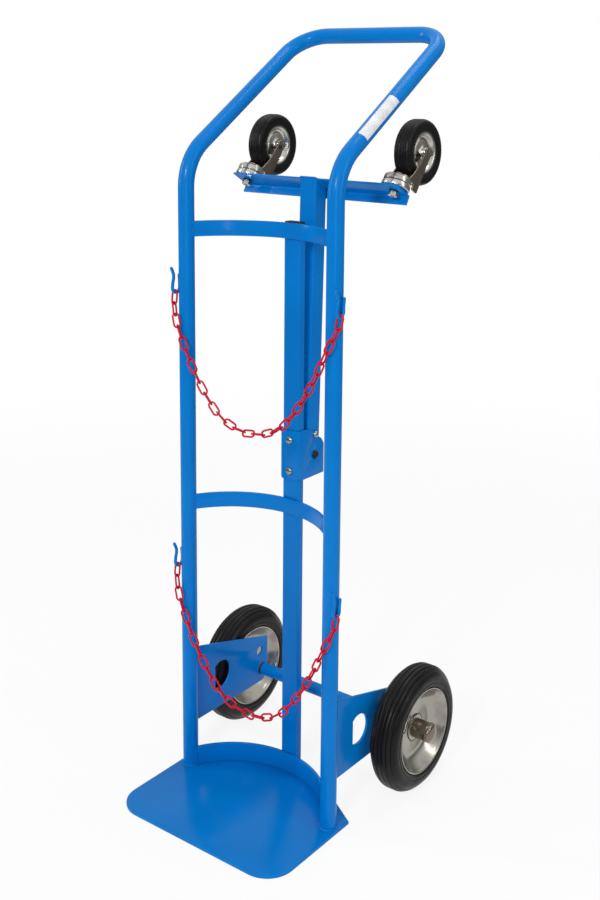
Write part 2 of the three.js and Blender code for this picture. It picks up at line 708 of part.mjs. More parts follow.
// ---------------------------------------------------------------- casters
function fork() {
  const foot = crownTop - forkSheet;
  const crown = turnedZ([[kingpinRadius + clearance, crownBottom], [crownRadius, crownBottom],
    [crownRadius, crownTop], [kingpinRadius + clearance, crownTop]], casterSides);
  const shelf = cut(block([-forkOuter, forkOuter], [forkShelfFront, forkShelfRear], [foot, crownTop]),
    drill('z', kingpinRadius, [foot - 1, crownTop + 1], [0, 0], casterSides));
  const eyeFront = casterTrail - forkEyeRadius;
  const cheek = new THREE.Shape();
  cheek.moveTo(forkShelfFront, foot);
  cheek.lineTo(forkShelfRear, foot);
  cheek.lineTo(forkShelfRear, forkFootLift);
  cheek.lineTo(forkFootRear, forkFootLift);
  cheek.lineTo(forkFootRear + clearance, forkWaist);
  cheek.lineTo(casterTrail + forkEyeRadius, casterHeight);
  cheek.absarc(casterTrail, casterHeight, forkEyeRadius, 0, Math.PI, false);
  cheek.quadraticCurveTo(eyeFront, forkWaist, forkShelfFront, crownTop);
  const cheeks = sides.map(([, side]) => cut(
    sheetYZ(cheek, side < 0 ? [-forkOuter, -forkInner] : [forkInner, forkOuter], plateSteps * half),
    drill('x', casterBoltRadius, [-forkOuter - 1, forkOuter + 1], [casterTrail, casterHeight])));
  return join(crown, shelf, ...cheeks);
}

// the pin whose head bears on the fork's crown and whose end takes the nut below the bar
function kingpin() {
  const head = crownTop + clearance;
  const end = -barSheet - clearance - kingpinNutHeight;
  return join(bar('z', kingpinRadius, [end, head + 1], [0, 0], casterSides),
    hexagon('z', kingpinFlats, [head, head + kingpinHeadHeight], [0, 0]));
}

function casterTyre() {
  const inner = casterRimRadius + clearance;
  const halfWidth = casterTyreWidth * half;
  return turnedX([
    [inner, -halfWidth + 2], [casterRadius - 8, -halfWidth], [casterRadius - 2, 3 - halfWidth],
    [casterRadius, 7 - halfWidth], [casterRadius, halfWidth - 7], [casterRadius - 2, halfWidth - 3],
    [casterRadius - 8, halfWidth], [inner, halfWidth - 2],
  ], casterSides);
}

function casterRim() {
  const [hub, disc, edge] = [casterHubLength, casterDiscWidth, casterRimWidth].map((width) => width * half);
  const bore = casterBoltRadius + holeClearance;
  const inside = casterRimRadius - 3;
  return turnedX([
    [bore, -hub], [casterHubRadius, -hub], [casterHubRadius, -disc], [inside, -disc], [inside, -edge],
    [casterRimRadius, -edge], [casterRimRadius, edge], [inside, edge], [inside, disc],
    [casterHubRadius, disc], [casterHubRadius, hub], [bore, hub],
  ], casterSides);
}

const casterPlace = [casterTrail, casterHeight];
const forkSeat = forkOuter + clearance;
const casterNutRange = [-forkSeat - casterNutHeight, -forkSeat];
for (const [name, side] of sides) {
  const caster = new THREE.Group();
  caster.position.set(side * casterX, casterSeat, 0);
  barFrame.add(caster);
  place(`${name}_caster_race`, turnedZ([[kingpinRadius + clearance, clearance], [raceRadius, clearance],
    [raceRadius, clearance + raceHeight], [kingpinRadius + clearance, clearance + raceHeight]], casterSides),
  zincPlate, caster);
  place(`${name}_kingpin`, kingpin(), zincPlate, caster);
  place(`${name}_kingpin_nut`, nut('z', kingpinFlats, kingpinRadius,
    [-barSheet - clearance - kingpinNutHeight, -barSheet - clearance], [0, 0]), zincPlate, caster);
  place(`${name}_fork`, fork(), zincPlate, caster);
  place(`${name}_caster_bolt`, join(
    bar('x', casterBoltRadius, [casterNutRange[0] - 1, forkSeat + 1], casterPlace),
    hexagon('x', casterBoltFlats, [forkSeat, forkSeat + casterBoltHeadHeight], casterPlace)),
  zincPlate, caster);
  place(`${name}_caster_nut`, nut('x', casterBoltFlats, casterBoltRadius, casterNutRange, casterPlace),
    zincPlate, caster);
  const wheel = new THREE.Group();
  wheel.position.set(0, casterTrail, casterHeight);
  caster.add(wheel);
  place(`${name}_caster_tyre`, casterTyre(), blackRubber, wheel);
  place(`${name}_caster_rim`, casterRim(), zincPlate, wheel);
}

export default truck;
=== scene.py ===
"""A gas cylinder hand truck: every visible surface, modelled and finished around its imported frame.

All lengths are in metres. +Z is up, +X is the truck's right, and -Y is the front where the cylinder stands.
"""

import logging
import math
from dataclasses import dataclass
from enum import Enum
from typing import Callable, Iterable, Sequence

import bmesh
import bpy
from mathutils import Matrix, Vector


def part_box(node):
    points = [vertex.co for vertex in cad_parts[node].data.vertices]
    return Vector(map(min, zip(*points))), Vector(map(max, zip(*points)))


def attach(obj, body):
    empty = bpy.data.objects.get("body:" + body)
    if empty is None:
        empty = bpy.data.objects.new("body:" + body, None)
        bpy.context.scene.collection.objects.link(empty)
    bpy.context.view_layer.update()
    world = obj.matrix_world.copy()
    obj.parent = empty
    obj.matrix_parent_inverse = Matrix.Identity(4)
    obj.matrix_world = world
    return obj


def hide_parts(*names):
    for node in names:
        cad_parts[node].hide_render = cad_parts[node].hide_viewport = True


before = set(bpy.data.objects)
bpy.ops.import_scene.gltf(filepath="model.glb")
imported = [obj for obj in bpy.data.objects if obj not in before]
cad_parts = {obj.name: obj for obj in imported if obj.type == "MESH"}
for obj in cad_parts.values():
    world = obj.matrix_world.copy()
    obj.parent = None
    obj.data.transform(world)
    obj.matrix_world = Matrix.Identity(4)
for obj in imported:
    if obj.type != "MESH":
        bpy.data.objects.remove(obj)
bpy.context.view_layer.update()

log = logging.getLogger("hand_truck")

Outline = list[tuple[float, float]]
Socket = bpy.types.NodeSocket

MM = 0.001
WELD_RIPPLE = 0.0022


class Side(Enum):
    """The truck's two sides, by the sign of their X."""

    LEFT = -1
    RIGHT = 1

    @property
    def word(self) -> str:
        """The side's name as the nodes spell it."""
        return self.name.lower()


class Level(Enum):
    """The two heights at which chains and hooks sit."""

    UPPER = "upper"
    LOWER = "lower"


# ------------------------------------------------------------------------------------------ finishes


class Nodes:
    """A small hand for building one material's node tree."""

    def __init__(self, name: str) -> None:
        """Starts an empty tree with its output.

        Args:
            name: The material's name.
        """
        self.material = bpy.data.materials.new(name)
        self.material.use_nodes = True
        self.tree = self.material.node_tree
        self.tree.nodes.clear()
        self.output = self.tree.nodes.new("ShaderNodeOutputMaterial")

    def add(self, kind: str, **settings: object) -> bpy.types.Node:
        """Adds a node.

        Args:
            kind: The node's Blender type, without its "ShaderNode" prefix.
            settings: Attributes of the node, such as operation.

        Returns:
            The new node.
        """
        node = self.tree.nodes.new("ShaderNode" + kind)
        for key, value in settings.items():
            setattr(node, key, value)
        return node

    def link(self, source: Socket, target: Socket) -> None:
        """Joins an output to an input."""
        self.tree.links.new(source, target)

    def place(self) -> Socket:
        """The point's own place on the object, in metres."""
        return self.add("TexCoord").outputs["Object"]

    def noise(self, scale: float, detail: float = 3.0, stretch: tuple[float, float, float] = (1, 1, 1)) -> Socket:
        """A soft random field.

        Args:
            scale: Cells to a metre.
            detail: Layers of finer noise.
            stretch: How much each axis is squeezed, which draws the cells out along the others.

        Returns:
            The field's 0 to 1 value.
        """
        mapping = self.add("Mapping")
        mapping.inputs["Scale"].default_value = stretch
        self.link(self.place(), mapping.inputs["Vector"])
        node = self.add("TexNoise")
        node.inputs["Scale"].default_value = scale
        node.inputs["Detail"].default_value = detail
        self.link(mapping.outputs["Vector"], node.inputs["Vector"])
        return node.outputs["Fac"]

    def ramp(self, value: Socket, stops: Sequence[tuple[float, Sequence[float]]]) -> Socket:
        """Turns a value into a colour through stops of (position, linear colour)."""
        node = self.add("ValToRGB")
        elements = node.color_ramp.elements
        while len(elements) < len(stops):
            elements.new(0.5)
        for element, (position, colour) in zip(elements, stops):
            element.position = position
            element.color = (*colour[:3], 1.0)
        self.link(value, node.inputs["Fac"])
        return node.outputs["Color"]

    def spread(self, value: Socket, low: float, high: float) -> Socket:
        """Maps the middle of a noise field onto a range of numbers."""
        node = self.add("MapRange")
        node.inputs["From Min"].default_value = 0.3
        node.inputs["From Max"].default_value = 0.7
        node.inputs["To Min"].default_value = low
        node.inputs["To Max"].default_value = high
        self.link(value, node.inputs["Value"])
        return node.outputs["Result"]

    def bump(self, height: Socket, strength: float, depth: float, below: Socket | None = None) -> Socket:
        """Raises a surface by a height field.

        Args:
            height: The field.
            strength: How much of it shows, from 0 to 1.
            depth: Its height in metres.
            below: Another bump's normal to add it to.

        Returns:
            The bumped normal.
        """
        node = self.add("Bump")
        node.inputs["Strength"].default_value = strength
        node.inputs["Distance"].default_value = depth
        self.link(height, node.inputs["Height"])
        if below is not None:
            self.link(below, node.inputs["Normal"])
        return node.outputs["Normal"]

    def surface(self, settings: dict[str, object]) -> bpy.types.Node:
        """Adds the main shader with plain settings on its own sockets, and joins it to the output."""
        shader = self.add("BsdfPrincipled")
        for key, value in settings.items():
            shader.inputs[key].default_value = value
        self.link(shader.outputs["BSDF"], self.output.inputs["Surface"])
        return shader


def linear(colour: Sequence[float], gain: float = 1.0) -> tuple[float, float, float]:
    """Turns a screen colour of 0 to 255 into linear light, times a gain."""

    def channel(value: float) -> float:
        """One channel in linear light."""
        part = value / 255
        return part / 12.92 if part <= 0.04045 else ((part + 0.055) / 1.055) ** 2.4

    return tuple(min(1.0, channel(value) * gain) for value in colour)


@dataclass(frozen=True)
class Finish:
    """A surface finish: a screen colour and how evenly it lies."""

    name: str
    slot: str
    colour: tuple[float, float, float]
    roughness: float

    def dress(self, nodes: Nodes) -> None:
        """Builds the finish's nodes. Each kind of finish has its own."""
        raise NotImplementedError

    def material(self) -> bpy.types.Material:
        """The finish as a material, made once."""
        known = bpy.data.materials.get(self.name)
        if known:
            return known
        nodes = Nodes(self.name)
        self.dress(nodes)
        return nodes.material


@dataclass(frozen=True)
class PowderCoat(Finish):
    """Glossy powder coat: a fine orange peel, a slow drift of tone and faint handling marks."""

    peel: float = 0.000004
    peel_scale: float = 150.0

    def dress(self, nodes: Nodes) -> None:
        """Builds the coat's nodes."""
        shader = nodes.surface({"Metallic": 0.0, "IOR": 1.25, "Specular IOR Level": 0.36})
        tone = nodes.noise(7.0, 4.0)
        nodes.link(nodes.ramp(tone, [(0.3, linear(self.colour, 0.93)), (0.7, linear(self.colour, 1.06))]),
                   shader.inputs["Base Color"])
        marks = nodes.noise(42.0, 6.0)
        nodes.link(nodes.spread(marks, self.roughness - 0.03, self.roughness + 0.04), shader.inputs["Roughness"])
        peel = nodes.bump(nodes.noise(self.peel_scale, 1.5), 0.25, self.peel)
        nodes.link(nodes.bump(nodes.noise(30.0, 2.0), 0.1, 0.00008, peel), shader.inputs["Normal"])


@dataclass(frozen=True)
class ZincPlate(Finish):
    """Bright zinc plate: steel grey with a faint green and straw bloom, and fine drawing lines."""

    bloom: tuple[float, float, float] = (176, 184, 160)
    shade: tuple[float, float, float] = (148, 146, 150)

    def dress(self, nodes: Nodes) -> None:
        """Builds the plate's nodes."""
        shader = nodes.surface({"Metallic": 1.0, "IOR": 1.6})
        patch = nodes.noise(28.0, 5.0)
        stops = [(0.28, linear(self.shade)), (0.5, linear(self.colour)), (0.72, linear(self.bloom))]
        nodes.link(nodes.ramp(patch, stops), shader.inputs["Base Color"])
        cloud = nodes.noise(60.0, 4.0)
        nodes.link(nodes.spread(cloud, self.roughness - 0.05, self.roughness + 0.07), shader.inputs["Roughness"])
        lines = nodes.bump(nodes.noise(300.0, 2.0, (1.0, 0.12, 0.12)), 0.1, 0.00001)
        nodes.link(nodes.bump(nodes.noise(24.0, 1.0), 0.15, 0.0003, lines), shader.inputs["Normal"])


@dataclass(frozen=True)
class Rubber(Finish):
    """Moulded black rubber, dull, with a brown-grey bloom and a fine grain."""

    dust: tuple[float, float, float] = (22, 19, 18)

    def dress(self, nodes: Nodes) -> None:
        """Builds the rubber's nodes."""
        shader = nodes.surface({"Metallic": 0.0, "IOR": 1.34, "Specular IOR Level": 0.32})
        bloom = nodes.noise(22.0, 6.0)
        nodes.link(nodes.ramp(bloom, [(0.35, linear(self.colour)), (0.78, linear(self.dust))]),
                   shader.inputs["Base Color"])
        nodes.link(nodes.spread(nodes.noise(60.0, 4.0), self.roughness - 0.08, self.roughness + 0.1),
                   shader.inputs["Roughness"])
        grain = nodes.bump(nodes.noise(900.0, 3.0), 0.3, 0.00006)
        nodes.link(nodes.bump(nodes.noise(75.0, 3.0), 0.15, 0.0004, grain), shader.inputs["Normal"])


@dataclass(frozen=True)
class Moulded(Finish):
    """A plain moulded, oxidised or printed surface with a fine grain."""

    metallic: float = 0.0
    grain: float = 0.00004

    def dress(self, nodes: Nodes) -> None:
        """Builds the surface's nodes."""
        shader = nodes.surface({"Metallic": self.metallic, "IOR": 1.48})
        stops = [(0.3, linear(self.colour, 0.86)), (0.7, linear(self.colour, 1.1))]
        nodes.link(nodes.ramp(nodes.noise(65.0, 4.0), stops), shader.inputs["Base Color"])
        nodes.link(nodes.spread(nodes.noise(150.0, 3.0), self.roughness - 0.07, self.roughness + 0.09),
                   shader.inputs["Roughness"])
        nodes.link(nodes.bump(nodes.noise(1100.0, 2.0), 0.3, self.grain), shader.inputs["Normal"])


BLUE = PowderCoat("blue_powder_coat", "blue_paint", (0, 114, 193), 0.2)
RED = PowderCoat("red_chain_coat", "red_chain", (196, 18, 46), 0.2)
ZINC = ZincPlate("bright_zinc_plate", "zinc_plate", (160, 156, 149), 0.2, (156, 158, 144), (130, 122, 120))
# A darker, browner copy of the zinc plate for the axle caps: painted shade and painted reflection on their domes.
CAP_ZINC_PAINTED_SHADE = ZincPlate("domed_zinc_plate", "zinc_plate", (122, 112, 104), 0.16, (132, 118, 102), (96, 86, 92))
# A lighter copy of the zinc plate: painted light and painted highlight on the caster races, crowns, shelves and
# rims, and on the kingpin nuts.
ZINC_PAINTED_LIGHT = ZincPlate("pressed_zinc_plate", "zinc_plate", (190, 187, 182), 0.23, (178, 180, 166), (140, 130, 126))
# A darker, browner copy of the zinc plate: painted shade and painted reflection of the dark tyre, on the fork cheeks
# and the main wheels' hub tubes.
ZINC_PAINTED_SHADE = ZincPlate("drawn_zinc_plate", "zinc_plate", (140, 130, 118), 0.24, (140, 136, 118), (108, 96, 88))
RUBBER = Rubber("moulded_rubber", "black_rubber", (12, 11, 11), 0.34)
PLASTIC = Moulded("moulded_plastic", "black_plastic", (16, 16, 18), 0.4)
OXIDE = Moulded("black_oxide_steel", "black_steel", (34, 36, 40), 0.38, 0.7)
# A darker grey-brown band on the axle where it meets each plate.
DARK_AXLE_BAND = Moulded("heat_marked_steel", "zinc_plate", (92, 84, 78), 0.4, 0.8)
STICKER = Moulded("blank_sticker", "blue_paint", (214, 214, 216), 0.5)


# ------------------------------------------------------------------------------------------ shaping


def arc(centre: tuple[float, float], radius: float, start: float, end: float, steps: int) -> Outline:
    """Points on an arc.

    Args:
        centre: The arc's centre.
        radius: The arc's radius.
        start: First angle in degrees.
        end: Last angle in degrees.
        steps: Number of chords.

    Returns:
        steps + 1 points.
    """
    angles = [math.radians(start + (end - start) * i / steps) for i in range(steps + 1)]
    return [(centre[0] + radius * math.cos(a), centre[1] + radius * math.sin(a)) for a in angles]


def rounded_outline(corners: Sequence[tuple[float, float, float]], steps: int = 6) -> Outline:
    """A closed outline whose corners are rounded.

    Args:
        corners: Each corner's two coordinates and its radius.
        steps: Chords in each rounded corner.

    Returns:
        The outline's points.
    """
    points: Outline = []
    for index, (x, y, radius) in enumerate(corners):
        here = Vector((x, y))
        back = (Vector(corners[index - 1][:2]) - here).normalized()
        on = (Vector(corners[(index + 1) % len(corners)][:2]) - here).normalized()
        if radius <= 0:
            points.append((x, y))
            continue
        half = back.angle(on) / 2
        centre = here + (back + on).normalized() * (radius / math.sin(half))
        first = here + back * (radius / math.tan(half)) - centre
        last = here + on * (radius / math.tan(half)) - centre
        for step in range(steps + 1):
            spoke = first.lerp(last, step / steps).normalized() * radius
            points.append(tuple(centre + spoke))
    return points


def rounded_path(corners: Sequence[Vector], radii: Sequence[float], steps: int = 16) -> list[Vector]:
    """A path through corners that are bent to the given radii.

    Args:
        corners: The path's ends and the corners between them.
        radii: One radius for each inner corner.
        steps: Chords in each bend.

    Returns:
        The path's points.
    """
    path = [corners[0]]
    for index, radius in enumerate(radii, start=1):
        here = corners[index]
        back = (corners[index - 1] - here).normalized()
        on = (corners[index + 1] - here).normalized()
        half = back.angle(on) / 2
        centre = here + (back + on).normalized() * (radius / math.sin(half))
        first = here + back * (radius / math.tan(half)) - centre
        last = here + on * (radius / math.tan(half)) - centre
        turn = math.pi - 2 * half
        for step in range(steps + 1):
            angle = turn * step / steps
            spoke = (first * math.sin(turn - angle) + last * math.sin(angle)) / math.sin(turn)
            path.append(centre + spoke)
    path.append(corners[-1])
    return path


def finished(name: str, mesh: bpy.types.Mesh, finish: Finish, crease: float = 35.0) -> bpy.types.Object:
    """Puts a mesh in the scene with its normals out, smooth but for its creases.

    Args:
        name: The piece's name.
        mesh: Its mesh.
        finish: Its surface.
        crease: Angle in degrees above which an edge stays sharp.

    Returns:
        The piece.
    """
    work = bmesh.new()
    work.from_mesh(mesh)
    bmesh.ops.remove_doubles(work, verts=work.verts, dist=2e-6)
    bmesh.ops.recalc_face_normals(work, faces=work.faces)
    work.to_mesh(mesh)
    work.free()
    mesh.shade_smooth()
    mesh.set_sharp_from_angle(angle=math.radians(crease))
    mesh.materials.clear()
    mesh.materials.append(finish.material())
    piece = bpy.data.objects.new(name, mesh)
    bpy.context.scene.collection.objects.link(piece)
    return piece


def solid(name: str, points: Iterable[Vector], faces: Iterable[Sequence[int]], finish: Finish,
          crease: float = 35.0) -> bpy.types.Object:
    """A piece from points and faces."""
    mesh = bpy.data.meshes.new(name)
    mesh.from_pydata([tuple(point) for point in points], [], [tuple(face) for face in faces])
    return finished(name, mesh, finish, crease)


def skin(rings: int, count: int, closed: bool) -> list[list[int]]:
    """Faces that join rings of equal count, with end caps unless the rings close on themselves."""
    faces = []
    for ring in range(rings if closed else rings - 1):
        after = (ring + 1) % rings
        for i in range(count):
            j = (i + 1) % count
            faces.append([ring * count + i, ring * count + j, after * count + j, after * count + i])
    if not closed:
        faces.append(list(range(count))[::-1])
        faces.append([(rings - 1) * count + i for i in range(count)])
    return faces


def swept(name: str, path: Sequence[Vector], radius: Callable[[float], float] | float, finish: Finish,
          sides: int = 24, round_ends: bool = False) -> bpy.types.Object:
    """A round bar along a path.

    Args:
        name: The piece's name.
        path: The bar's axis.
        radius: Its radius, or its radius at each distance along the path.
        finish: Its surface.
        sides: Facets round the bar.
        round_ends: Whether its ends are domed.

    Returns:
        The bar.
    """
    size = radius if callable(radius) else (lambda _: radius)
    tangents = []
    for i in range(len(path)):
        ahead = path[min(i + 1, len(path) - 1)] - path[max(i - 1, 0)]
        tangents.append(ahead.normalized())
    normal = tangents[0].orthogonal().normalized()
    stations: list[tuple[Vector, Vector, Vector, float]] = []
    travelled = 0.0
    for i, point in enumerate(path):
        if i:
            travelled += (point - path[i - 1]).length
            normal = tangents[i - 1].rotation_difference(tangents[i]) @ normal
        stations.append((point, normal.copy(), tangents[i], size(travelled)))
    if round_ends:
        stations = dome_ends(stations)
    points = []
    for point, across, along, reach in stations:
        beside = along.cross(across)
        for k in range(sides):
            angle = 2 * math.pi * k / sides
            points.append(point + (across * math.cos(angle) + beside * math.sin(angle)) * reach)
    return solid(name, points, skin(len(stations), sides, False), finish)


def stepped(path: Sequence[Vector], step: float) -> list[Vector]:
    """The same path with points added along it, about a step apart."""
    fine: list[Vector] = []
    for start, end in zip(path, path[1:]):
        count = max(1, round((end - start).length / step))
        fine += [start.lerp(end, i / count) for i in range(count)]
    return fine + [path[-1]]


def dome_ends(stations: list[tuple[Vector, Vector, Vector, float]]) -> list[tuple[Vector, Vector, Vector, float]]:
    """Adds the shrinking rings of a dome inside each end of a bar's stations."""

    def dome(station: tuple[Vector, Vector, Vector, float], sign: float) -> list:
        """The shrinking rings that close one end."""
        point, across, along, reach = station
        rings = []
        for angle in (15, 40, 65):
            turn = math.radians(angle)
            shift = sign * reach * (math.sin(turn) - 1)
            rings.append((point + along * shift, across, along, reach * math.cos(turn)))
        return rings

    first, last = stations[0], stations[-1]
    start = (first[0] + first[2] * first[3], *first[1:])
    end = (last[0] - last[2] * last[3], *last[1:])
    return dome(first, -1.0)[::-1] + [start] + stations[1:-1] + [end] + dome(last, 1.0)


def turned(name: str, profile: Sequence[tuple[float, float]], place: Matrix, finish: Finish,
           segments: int = 72, crease: float = 35.0) -> bpy.types.Object:
    """A turned piece.

    Args:
        name: The piece's name.
        profile: A closed loop of (radius, distance along the axis).
        place: Where the axis, its local Z, lies.
        finish: Its surface.
        segments: Facets round the axis.
        crease: Angle in degrees above which an edge stays sharp.

    Returns:
        The piece.
    """
    points = []
    for k in range(segments):
        angle = 2 * math.pi * k / segments
        for radius, along in profile:
            points.append(place @ Vector((radius * math.cos(angle), radius * math.sin(angle), along)))
    return solid(name, points, skin(segments, len(profile), True), finish, crease)


def level_end(height: float) -> Callable[[float, float], float]:
    """A prism's end that lies level at a height."""
    return lambda x, y: height


def prism(name: str, outer: Outline, place: Matrix, low: Callable[[float, float], float],
          high: Callable[[float, float], float], finish: Finish, inner: Outline | None = None,
          edge: float = 0.0) -> bpy.types.Object:
    """A straight section, solid or hollow, with ends cut to any slope.

    Args:
        name: The piece's name.
        outer: The section's outline.
        place: Where the section lies; it runs along its local Z.
        low: The lower end's height at each point of the section.
        high: The upper end's height there.
        finish: Its surface.
        inner: The bore's outline, with as many points as the outer one.
        edge: Width of the eased edges at the ends.

    Returns:
        The piece.
    """
    loops = [(outer, low), (outer, high)]
    if inner:
        loops += [(inner, high), (inner, low)]
    points = [place @ Vector((x, y, end(x, y))) for loop, end in loops for x, y in loop]
    faces = skin(len(loops), len(outer), bool(inner))
    piece = solid(name, points, faces, finish)
    if edge:
        ease_edges(piece, edge, 40.0)
    return piece


def apply_modifiers(piece: bpy.types.Object) -> None:
    """Turns a piece's modifiers into plain mesh."""
    graph = bpy.context.evaluated_depsgraph_get()
    mesh = bpy.data.meshes.new_from_object(piece.evaluated_get(graph), depsgraph=graph)
    piece.modifiers.clear()
    piece.data = mesh


def ease_edges(piece: bpy.types.Object, width: float, angle: float = 30.0, segments: int = 2) -> None:
    """Rounds a piece's sharp edges by a small width."""
    bevel = piece.modifiers.new("eased", "BEVEL")
    bevel.width = width
    bevel.segments = segments
    bevel.limit_method = "ANGLE"
    bevel.angle_limit = math.radians(angle)
    bevel.harden_normals = False
    apply_modifiers(piece)
    piece.data.shade_smooth()
    piece.data.set_sharp_from_angle(angle=math.radians(38.0))


def carve(piece: bpy.types.Object, *tools: bpy.types.Object) -> None:
    """Cuts tools out of a piece and removes them."""
    for tool in tools:
        cut = piece.modifiers.new("cut", "BOOLEAN")
        cut.operation = "DIFFERENCE"
        cut.solver = "EXACT"
        cut.object = tool
        apply_modifiers(piece)
        bpy.data.objects.remove(tool)
    piece.data.shade_smooth()
    piece.data.set_sharp_from_angle(angle=math.radians(35.0))


def sheet(name: str, outer: Outline, place: Matrix, thickness: float, finish: Finish,
          holes: Sequence[Outline] = (), edge: float = 0.0006) -> bpy.types.Object:
    """A flat plate with eased edges.

    Args:
        name: The piece's name.
        outer: The plate's outline.
        place: Where the plate lies; it is thick along its local Z, from 0 up.
        thickness: The plate's thickness.
        finish: Its surface.
        holes: Outlines of the holes through it.
        edge: Radius of its edges.

    Returns:
        The plate.
    """
    curve = bpy.data.curves.new(name, "CURVE")
    curve.dimensions = "2D"
    curve.fill_mode = "BOTH"
    curve.extrude = thickness / 2 - edge
    curve.bevel_depth = edge
    curve.bevel_resolution = 2
    curve.offset = -edge
    for outline in (outer, *holes):
        spline = curve.splines.new("POLY")
        spline.points.add(len(outline) - 1)
        for point, (x, y) in zip(spline.points, outline):
            point.co = (x, y, 0.0, 1.0)
        spline.use_cyclic_u = True
    drawn = bpy.data.objects.new(name + "_outline", curve)
    bpy.context.scene.collection.objects.link(drawn)
    graph = bpy.context.evaluated_depsgraph_get()
    mesh = bpy.data.meshes.new_from_object(drawn.evaluated_get(graph), depsgraph=graph)
    bpy.data.objects.remove(drawn)
    mesh.transform(place @ Matrix.Translation((0, 0, thickness / 2)))
    return finished(name, mesh, finish)


def joined(name: str, *pieces: bpy.types.Object) -> bpy.types.Object:
    """Makes one piece of several.

    Args:
        name: The piece's name.
        pieces: What it is made of; each keeps its own finish.

    Returns:
        The one piece.
    """
    materials: list[bpy.types.Material] = []
    work = bmesh.new()
    for piece in pieces:
        finish = piece.data.materials[0]
        if finish not in materials:
            materials.append(finish)
        before = len(work.faces)
        work.from_mesh(piece.data)
        work.faces.ensure_lookup_table()
        for face in work.faces[before:]:
            face.material_index = materials.index(finish)
    mesh = bpy.data.meshes.new(name)
    work.to_mesh(mesh)
    work.free()
    for finish in materials:
        mesh.materials.append(finish)
    for piece in pieces:
        bpy.data.objects.remove(piece)
    whole = bpy.data.objects.new(name, mesh)
    bpy.context.scene.collection.objects.link(whole)
    return whole


def basis(x: Vector, y: Vector, origin: Vector) -> Matrix:
    """A place whose local X and Y run along the given directions."""
    z = x.cross(y)
    matrix = Matrix((x, y, z)).transposed().to_4x4()
    matrix.translation = origin
    return matrix


def along_x(place: Vector, sign: float = 1.0) -> Matrix:
    """A place whose local Z runs along X, outward on the given side."""
    return basis(Vector((0, sign, 0)), Vector((0, 0, 1)), place)


def middle(node: str) -> Vector:
    """The middle of a node's box."""
    low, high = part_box(node)
    return (low + high) / 2


def settle(piece: bpy.types.Object, body: str, *nodes: str, finish: Finish = BLUE) -> bpy.types.Object:
    """Gives a piece its body, hides the nodes that it stands for, and reports it.

    Args:
        piece: The piece.
        body: The body that carries it.
        nodes: The nodes that it replaces.
        finish: Not used.

    Returns:
        The piece.
    """
    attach(piece, body)
    if nodes:
        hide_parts(*nodes)
    log.info("%s rides on %s, %d faces", piece.name, body, len(piece.data.polygons))
    return piece


def weld(name: str, path: Sequence[Vector], size: float, body: str) -> bpy.types.Object:
    """A painted weld bead with its ripples.

    Args:
        name: The bead's name.
        path: The seam.
        size: The bead's radius.
        body: The body that carries it.

    Returns:
        The bead.
    """
    fine = stepped(path, WELD_RIPPLE / 3)

    def ripple(travelled: float) -> float:
        """The bead's radius at a distance along it."""
        return size * (0.86 + 0.14 * math.cos(2 * math.pi * travelled / WELD_RIPPLE))

    return settle(swept(name, fine, ripple, BLUE, 10, True), body)


def hex_loop(flats: float, steps: int = 1) -> Outline:
    """The outline of a hexagon of the given width across its flats."""
    corners = [(flats / math.sqrt(3) * math.cos(a), flats / math.sqrt(3) * math.sin(a), flats * 0.03)
               for a in (math.radians(30 + 60 * k) for k in range(6))]
    return rounded_outline(corners, steps)


def hex_body(name: str, flats: float, height: float, place: Matrix, finish: Finish,
             chamfered: tuple[bool, bool] = (True, True)) -> bpy.types.Object:
    """A hexagon nut or bolt head whose corners are turned down.

    Args:
        name: The piece's name.
        flats: Width across the flats.
        height: Its height, from the place up its local Z.
        place: Where its seat is.
        finish: Its surface.
        chamfered: Whether the seat and the top are turned down.

    Returns:
        The hexagon.
    """
    piece = prism(name, hex_loop(flats), place, level_end(0.0), level_end(height), finish)
    corner = flats / math.sqrt(3)
    drop = (corner - flats / 2) * 0.6
    profile = [(0.0, 0.0), (flats * 0.47, 0.0), (corner * 1.02, drop), (corner * 1.02, height - drop),
               (flats * 0.47, height), (0.0, height)]
    if not chamfered[0]:
        profile[1:3] = [(corner * 1.02, 0.0)]
    if not chamfered[1]:
        profile[-3:-1] = [(corner * 1.02, height)]
    envelope = turned(name + "_envelope", profile, place, finish, 36)
    keep = piece.modifiers.new("turned_down", "BOOLEAN")
    keep.operation = "INTERSECT"
    keep.solver = "EXACT"
    keep.object = envelope
    apply_modifiers(piece)
    bpy.data.objects.remove(envelope)
    piece.data.shade_smooth()
    piece.data.set_sharp_from_angle(angle=math.radians(25.0))
    return piece


def domed_head(radius: float, height: float, base: float, steps: int = 7) -> list[tuple[float, float]]:
    """The profile of a round bolt head, from its seat's rim to its crown."""
    return [(radius, base)] + [(radius * math.cos(math.radians(90 * i / steps)),
                                base + height * (0.16 + 0.84 * math.sin(math.radians(90 * i / steps))))
                               for i in range(steps + 1)]


# ------------------------------------------------------------------------------------------ camera and cords


@dataclass(frozen=True)
class Viewpoint:
    """The camera: level with the handle, to the truck's front right."""

    position: tuple[float, float, float] = (1.11284, -1.35676, 1.12815)
    forward: tuple[float, float, float] = (-0.60112, 0.78002, -0.17381)
    upward: tuple[float, float, float] = (-0.11157, 0.13346, 0.98476)
    lens: float = 48.57
    shift: tuple[float, float] = (0.0071, -0.1814)

    def build(self) -> bpy.types.Object:
        """Makes the camera and hands it to the scene."""
        data = bpy.data.cameras.new("camera")
        data.sensor_width = 36.0
        data.lens = self.lens
        data.shift_x, data.shift_y = self.shift
        data.clip_end = 50.0
        camera = bpy.data.objects.new("camera", data)
        back = -Vector(self.forward).normalized()
        up = Vector(self.upward).normalized()
        camera.matrix_world = basis(up.cross(back), up, Vector(self.position))
        bpy.context.scene.collection.objects.link(camera)
        bpy.context.scene.camera = camera
        return camera


